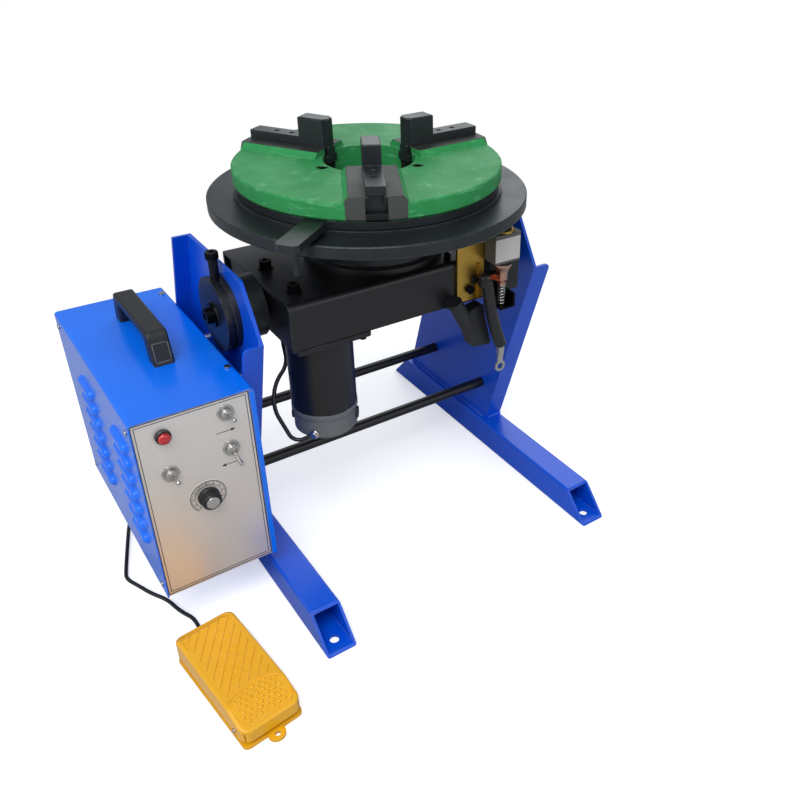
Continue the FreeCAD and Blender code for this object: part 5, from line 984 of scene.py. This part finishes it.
def motor_plugs(middle, flange_bottom, cap_bottom):
    """The two brush plugs in the motor's end cap, and the rim under its flange."""
    trim = Shape()
    for turn in (-35, 145):
        place = (Matrix.Translation((middle.x, middle.y, cap_bottom + 0.016))
                 @ Matrix.Rotation(math.radians(turn), 4, "Z")
                 @ Matrix.Rotation(math.radians(90), 4, "Y"))
        trim.turned([(0.0075, 0.034), (0.0075, 0.0384), (0.0068, 0.0390), (0.0030, 0.0390)], 24,
                    place)
    trim.turned([(0.0386, 0), (0.0391, 0.0004), (0.0391, 0.0016), (0.0386, 0.0020)], 48,
                Matrix.Translation((middle.x, middle.y, flange_bottom - 0.006)))
    trim.piece("motor_plugs", "black_plastic", "tilt_head", True)


def motor_gland(middle, cap_bottom):
    """The gland where the cable leaves the motor's end cap."""
    leaves = Vector((middle.x - 0.0255, middle.y - 0.0242, cap_bottom + 0.0085))
    out = Vector((-0.80, -0.58, -0.12)).normalized()
    gland = Shape()
    gland.sweep([leaves + out * d for d in (0.0, 0.0035, 0.0036, 0.0065, 0.0066)],
                [0.0056, 0.0056, 0.0046, 0.0042, 0.0030], 16)
    gland.piece("motor_gland", "zinc", "tilt_head", True)


def lock_screw_knurl(ridges=26):
    """Knurled ridges round the head of the tilt lock screw."""
    axis = centre("tilt_lock_screw")
    head = Matrix.Translation((axis.x, axis.y, corners("tilt_lock_screw")[1].z - 0.0078))
    knurl = Shape()
    for i in range(ridges):
        turn = Matrix.Rotation(2 * math.pi * i / ridges, 4, "Z")
        knurl.turned([(0.0003, 0.0004), (0.0005, 0.0008), (0.0005, 0.0068), (0.0003, 0.0072)], 5,
                     head @ turn @ Matrix.Translation((0.0065, 0, 0)))
    knurl.piece("lock_screw_knurl", "dark_screws", "lock_screw", True)


class POSITIONER_OT_head(bpy.types.Operator):
    """Add the grease nipple, motor screws, brush plugs, cable gland and knurling on the head"""
    bl_idname = "positioner.head"
    bl_label = "Head details"

    def execute(self, context):
        middle = centre("motor_flange")
        flange_bottom = corners("motor_flange")[0].z
        cap_bottom = corners("motor_end_cap")[0].z
        grease_nipple()
        motor_screws(middle, flange_bottom, cap_bottom)
        motor_plugs(middle, flange_bottom, cap_bottom)
        motor_gland(middle, cap_bottom)
        lock_screw_knurl()
        return {"FINISHED"}


# ---------------------------------------------------------------- earth brush

def coiled_spring(name, node, turns, wire, body):
    """A wire spring in the place of a tube node."""
    low, high = corners(node)
    axis = centre(node)
    radius = (high.x - low.x) / 2 - wire
    around = 24
    flat_end = around // 2
    steps = turns * around
    rise = high.z - low.z - 2 * wire
    coil = Shape()
    coil.sweep([(axis.x + radius * math.cos(2 * math.pi * i / around),
                 axis.y + radius * math.sin(2 * math.pi * i / around),
                 low.z + wire + rise * min(1, max(0, (i - flat_end) / (steps - around))))
                for i in range(steps + 1)], wire, 8)
    spring = coil.piece(name, "zinc", body, True)
    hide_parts(node)
    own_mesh(spring)


def holder_fittings(axis):
    """The bare label plate on the brush holder and the collar over it."""
    low, high = corners("brush_holder")
    label = Shape()
    label.block((low.x - 0.001, low.y - 0.0006, low.z + 0.003),
                (high.x - 0.0015, low.y + 0.0001, high.z - 0.0045))
    soften(label.piece("holder_plate", "label_white", "tilt_head"), 0.0003)
    collar = Shape()
    collar.turned([(0.0096, 0), (0.0125, 0), (0.0125, 0.002), (0.0115, 0.003), (0.0096, 0.003),
                   (0.0096, 0.0001)], 36, Matrix.Translation((axis.x, axis.y, high.z)))
    collar.piece("brush_collar", "yellow_zinc", "tilt_head", True)


def copper_braid(axis, lead_top, strands=7, steps=14):
    """Bowed copper strands from the earth lead to the terminal."""
    nut = Vector((axis.x - 0.0045, axis.y - 0.002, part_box("brush_terminal")[0][2] + 0.0135))
    braid = Shape()
    for k in range(strands):
        turn = 2 * math.pi * k / strands
        spread = Vector((math.cos(turn), math.sin(turn), 0)) * 0.0022
        bow = Vector((-0.004 + 0.004 * math.cos(turn * 2), -0.005 + 0.002 * math.sin(turn), 0.006))
        path = []
        for i in range(steps + 1):
            t = i / steps
            base = lead_top.lerp(nut, t) + bow * math.sin(math.pi * t)
            path.append(base + spread * (1 - 0.6 * t) + Vector((0, 0, -0.003 * (1 - t))))
        braid.sweep(path, 0.0008, 6)
    piece = braid.piece("copper_braid", "copper", None, True)
    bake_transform(piece)


def lead_fittings(lead_top):
    """The sleeve at the lead's top and the clip that holds it on the bracket."""
    inset = 0.0001
    sleeve = Shape()
    sleeve.sweep([lead_top + Vector((inset, 0, d)) for d in (-0.014, -0.0139, -0.001, 0.0005)],
                 [0.0076, 0.0082, 0.0082, 0.0070], 20)
    sleeve.piece("lead_sleeve", "sheath", "tilt_head", True)
    clip = Shape()
    band = lead_top + Vector((inset, 0, -0.010))
    plate_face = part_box("brush_bracket")[0][1] + 0.004
    clip.turned([(0.0083, -0.004), (0.0090, -0.004), (0.0090, 0.004), (0.0083, 0.004)], 24,
                Matrix.Translation(band))
    clip.block((band.x - 0.012, plate_face - 0.0032, band.z - 0.004),
               (band.x - 0.0025, plate_face - 0.0005, band.z + 0.004))
    clip.piece("lead_clip", "black_plastic", "tilt_head")


class POSITIONER_OT_brush(bpy.types.Operator):
    """Add the springs' wire, and the braid, collar, bare label plate and clip of the earth brush"""
    bl_idname = "positioner.brush"
    bl_label = "Brush details"

    def execute(self, context):
        size = sizes()
        coiled_spring("brush_spring_wire", "brush_spring", size.spring_turns, size.spring_wire,
                      "tilt_head")
        coiled_spring("pedal_spring_wire", "pedal_spring", size.pedal_spring_turns,
                      size.pedal_spring_wire, "base")
        axis = centre("brush_spring")
        lead_top = Vector(EARTH_LEAD[0])
        holder_fittings(axis)
        copper_braid(axis, lead_top)
        lead_fittings(lead_top)
        return {"FINISHED"}


# ---------------------------------------------------------------- cords

FOOT_CORD_REAR = [
    (-0.293, 0.178, 0.089), (-0.293, 0.206, 0.087), (-0.294, 0.232, 0.0656), (-0.296, 0.238, 0.0396),
    (-0.299, 0.226, 0.0154), (-0.302, 0.203, 0.0039), (-0.303, 0.178, 0.0024),
]
FOOT_CORD_FRONT = [
    (-0.303, 0.126, 0.0024), (-0.306, 0.117, 0.0024), (-0.315, 0.108, 0.0024),
    (-0.331, 0.061, 0.0024), (-0.346, 0.016, 0.0024), (-0.349, 0.003, 0.0024),
    (-0.340, -0.018, 0.0024), (-0.332, -0.038, 0.0024), (-0.320, -0.058, 0.0024),
    (-0.314, -0.085, 0.0024), (-0.303, -0.1105, 0.0045), (-0.308, -0.1405, 0.0095),
]
CORD_RADIUS = 0.00225
COIL_CENTRE = (-0.270, 0.150)
COIL_TURNS = 6
LEAD_RADIUS = 0.0075
EARTH_LEAD = [
    (0.088, -0.1225, 0.345), (0.0895, -0.124, 0.332), (0.092, -0.126, 0.314),
    (0.0965, -0.127, 0.288), (0.1045, -0.128, 0.261), (0.110, -0.128, 0.247),
]


def coil_points():
    """Turns of the cord beside and on each other; the last one crosses over the others."""
    low, high = 0.0024, 0.0063
    lanes = [(0.0352, low), (0.0397, low), (0.0375, high), (0.0330, high), (0.0307, low),
             (0.0262, low), (0.0340, 0.0108)]
    points = []
    around = 14
    for i in range(COIL_TURNS * around + 1):
        turn = i / around
        lane = min(int(turn), COIL_TURNS - 1)
        share = max(0.0, (turn - lane) * around - (around - 4)) / 4
        r = lanes[lane][0] + (lanes[lane + 1][0] - lanes[lane][0]) * share
        z = lanes[lane][1] + (lanes[lane + 1][1] - lanes[lane][1]) * share
        a = math.pi + 2 * math.pi * turn
        points.append((COIL_CENTRE[0] + r * math.cos(a), COIL_CENTRE[1] + r * math.sin(a), z))
    return points


def cord_curve(name, points, radius, finish, body):
    """A round cord along one smooth spline with these control points."""
    curve = bpy.data.curves.new(name, "CURVE")
    curve.dimensions = "3D"
    curve.bevel_depth = radius
    curve.bevel_resolution = 5
    curve.resolution_u = 8
    curve.use_fill_caps = True
    spline = curve.splines.new("NURBS")
    spline.points.add(len(points) - 1)
    for point, place in zip(spline.points, points):
        point.co = (*place, 1)
    spline.order_u = 3
    spline.use_endpoint_u = True
    curve.materials.append(MATERIALS[finish])
    piece = bpy.data.objects.new(name, curve)
    bpy.context.scene.collection.objects.link(piece)
    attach(piece, body)
    return piece


def spline_length(piece):
    """Length of a cord's own line."""
    line = piece.data.copy()
    line.bevel_depth = 0
    probe = bpy.data.objects.new("probe", line)
    mesh = bpy.data.meshes.new_from_object(probe)
    points = [v.co.copy() for v in mesh.vertices]
    bpy.data.objects.remove(probe)
    bpy.data.curves.remove(line)
    return sum((b - a).length for a, b in zip(points, points[1:]))


class POSITIONER_OT_cords(bpy.types.Operator):
    """Lay the foot switch cord with its coil, and hang the earth lead"""
    bl_idname = "positioner.cords"
    bl_label = "Cords"

    def execute(self, context):
        points = FOOT_CORD_REAR + coil_points() + FOOT_CORD_FRONT
        cord = cord_curve("foot_switch_cord", points, CORD_RADIUS, "sheath", "base")
        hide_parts("foot_cord", "foot_cord_coil")
        lead = cord_curve("earth_lead_sleeve", EARTH_LEAD, LEAD_RADIUS, "sheath", "tilt_head")
        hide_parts("earth_lead")
        print("cord lengths", round(spline_length(cord), 3), round(spline_length(lead), 3))
        return {"FINISHED"}


# ---------------------------------------------------------------- stage

LAMPS = (
    ("key", (-1.0, -1.2, 2.2), 1.5, 37.0), ("fill", (-2.2, -0.4, 1.0), 1.4, 11.0),
    ("rim", (1.2, 1.4, 1.6), 1.6, 13.0), ("front", (0.8, -2.2, 0.9), 1.4, 7.0),
)
LAMP_TARGET = Vector((-0.05, -0.05, 0.25))
CAMERA_AT = (-0.449, -0.846, 0.758)
CAMERA_RIGHT = (0.795, -0.606, 0.035)
CAMERA_UP = (0.291, 0.431, 0.854)
CAMERA_BACK = (-0.533, -0.669, 0.518)
FLOOR_REACH = 6.0
FLOOR_DROP = 0.0004
FADE_CENTRE = (0.08, 0.05, 0)
FADE_FROM = 0.35
FADE_TO = 1.0


def mix_shader(tree, mask, first, second):
    """A mix of two shaders by a mask."""
    item = tree.nodes.new("ShaderNodeMixShader")
    for socket, source in zip(item.inputs, (mask, first, second)):
        tree.links.new(source, socket)
    return item.outputs[0]


def glowing(tree, kind, tone, strength):
    """A background or emission shader of one colour."""
    item = tree.nodes.new(kind)
    item.inputs["Color"].default_value = tone
    item.inputs["Strength"].default_value = strength
    return item.outputs[0]


def studio_world(scene):
    """A soft cool sky that lights the machine, and plain white where the camera sees it."""
    world = bpy.data.worlds.new("studio")
    scene.world = world
    world.use_nodes = True
    tree = world.node_tree
    soft = glowing(tree, "ShaderNodeBackground", (0.86, 0.92, 1.0, 1), 0.42)
    white = glowing(tree, "ShaderNodeBackground", (1, 1, 1, 1), 1.0)
    path = tree.nodes.new("ShaderNodeLightPath")
    seen = math_node(tree, "MAXIMUM", path.outputs["Is Camera Ray"],
                     path.outputs["Is Transmission Ray"])
    tree.links.new(mix_shader(tree, seen, soft, white),
                   tree.nodes["World Output"].inputs["Surface"])


def floor_material():
    """White ground that keeps the shadow near the machine and fades to plain white away from it."""
    material = bpy.data.materials.new("studio_white")
    material.use_nodes = True
    tree = material.node_tree
    surface = tree.nodes["Principled BSDF"]
    surface.inputs["Base Color"].default_value = (0.9, 0.9, 0.9, 1)
    surface.inputs["Roughness"].default_value = 0.9
    surface.inputs["Specular IOR Level"].default_value = 0.1
    lift = tree.nodes.new("ShaderNodeAddShader")
    tree.links.new(surface.outputs[0], lift.inputs[0])
    tree.links.new(glowing(tree, "ShaderNodeEmission", (1, 1, 1, 1), 0.48), lift.inputs[1])
    place = tree.nodes.new("ShaderNodeNewGeometry").outputs["Position"]
    fade = tree.nodes.new("ShaderNodeMapRange")
    fade.interpolation_type = "SMOOTHSTEP"
    fade.inputs["From Min"].default_value = FADE_FROM
    fade.inputs["From Max"].default_value = FADE_TO
    away = vector_node(tree, "LENGTH", vector_node(tree, "ADD", place, FADE_CENTRE))
    tree.links.new(away, fade.inputs["Value"])
    plain = glowing(tree, "ShaderNodeEmission", (1, 1, 1, 1), 1.0)
    near = mix_shader(tree, fade.outputs["Result"], lift.outputs[0], plain)
    dim = tree.nodes.new("ShaderNodeBsdfDiffuse")
    dim.inputs["Color"].default_value = (0.5, 0.5, 0.5, 1)
    path = tree.nodes.new("ShaderNodeLightPath")
    ground = mix_shader(tree, path.outputs["Is Camera Ray"], dim.outputs[0], near)
    tree.links.new(ground, tree.nodes["Material Output"].inputs["Surface"])
    return material


def studio_floor(scene):
    """The ground just under the feet."""
    mesh = bpy.data.meshes.new("studio_floor")
    r = FLOOR_REACH
    mesh.from_pydata([(-r, -r, 0), (r, -r, 0), (r, r, 0), (-r, r, 0)], [], [(0, 1, 2, 3)])
    plane = bpy.data.objects.new("studio_floor", mesh)
    plane.location.z = -FLOOR_DROP
    scene.collection.objects.link(plane)
    mesh.materials.append(floor_material())


def studio_lamps(scene):
    """The square lamps, each turned towards the machine."""
    for name, place, width, power in LAMPS:
        lamp = bpy.data.lights.new(name, "AREA")
        lamp.energy = power
        lamp.size = width
        thing = bpy.data.objects.new(name, lamp)
        thing.location = place
        thing.rotation_mode = "QUATERNION"
        thing.rotation_quaternion = (LAMP_TARGET - Vector(place)).to_track_quat("-Z", "Y")
        scene.collection.objects.link(thing)


def studio_camera(scene):
    """The camera above the operator's side."""
    camera = bpy.data.cameras.new("camera")
    camera.lens = 37.63
    camera.sensor_width = 36.0
    camera.shift_x = -0.1345
    camera.shift_y = -0.0351
    view = bpy.data.objects.new("camera", camera)
    turn = Matrix((CAMERA_RIGHT, CAMERA_UP, CAMERA_BACK)).transposed().to_4x4()
    view.matrix_world = Matrix.Translation(CAMERA_AT) @ turn
    scene.collection.objects.link(view)
    scene.camera = view


class POSITIONER_OT_stage(bpy.types.Operator):
    """Set the world, the floor, the lamps and the camera"""
    bl_idname = "positioner.stage"
    bl_label = "Stage"

    def execute(self, context):
        scene = context.scene
        scene.view_settings.view_transform = "Standard"
        studio_world(scene)
        studio_floor(scene)
        studio_lamps(scene)
        studio_camera(scene)
        return {"FINISHED"}


STEPS = ("finishes", "pedal_tread", "panel", "handle", "welds", "head", "brush", "cords", "stage")


class POSITIONER_PT_tools(bpy.types.Panel):
    """The dressing steps in the sidebar"""
    bl_idname = "POSITIONER_PT_tools"
    bl_label = "Positioner"
    bl_space_type = "VIEW_3D"
    bl_region_type = "UI"
    bl_category = "Positioner"

    def draw(self, context):
        for settings in (context.scene.positioner_paint, context.scene.positioner_sizes):
            box = self.layout.box()
            for key in settings.__annotations__:
                box.prop(settings, key)
        for step in STEPS:
            self.layout.operator("positioner." + step)


CLASSES = (
    PositionerPaint, PositionerSizes, POSITIONER_OT_finishes, POSITIONER_OT_pedal_tread,
    POSITIONER_OT_panel, POSITIONER_OT_handle, POSITIONER_OT_welds, POSITIONER_OT_head,
    POSITIONER_OT_brush, POSITIONER_OT_cords, POSITIONER_OT_stage, POSITIONER_PT_tools,
)


def register():
    """Add the classes and the settings to Blender."""
    for item in CLASSES:
        bpy.utils.register_class(item)
    bpy.types.Scene.positioner_paint = PointerProperty(type=PositionerPaint)
    bpy.types.Scene.positioner_sizes = PointerProperty(type=PositionerSizes)


def unregister():
    """Take them out again."""
    del bpy.types.Scene.positioner_paint
    del bpy.types.Scene.positioner_sizes
    for item in reversed(CLASSES):
        bpy.utils.unregister_class(item)


def main():
    """Dress the model step by step."""
    register()
    for step in STEPS:
        result = getattr(bpy.ops.positioner, step)()
        if result != {"FINISHED"}:
            raise RuntimeError("step %s did not finish" % step)


if __name__ == "__main__":
    main()
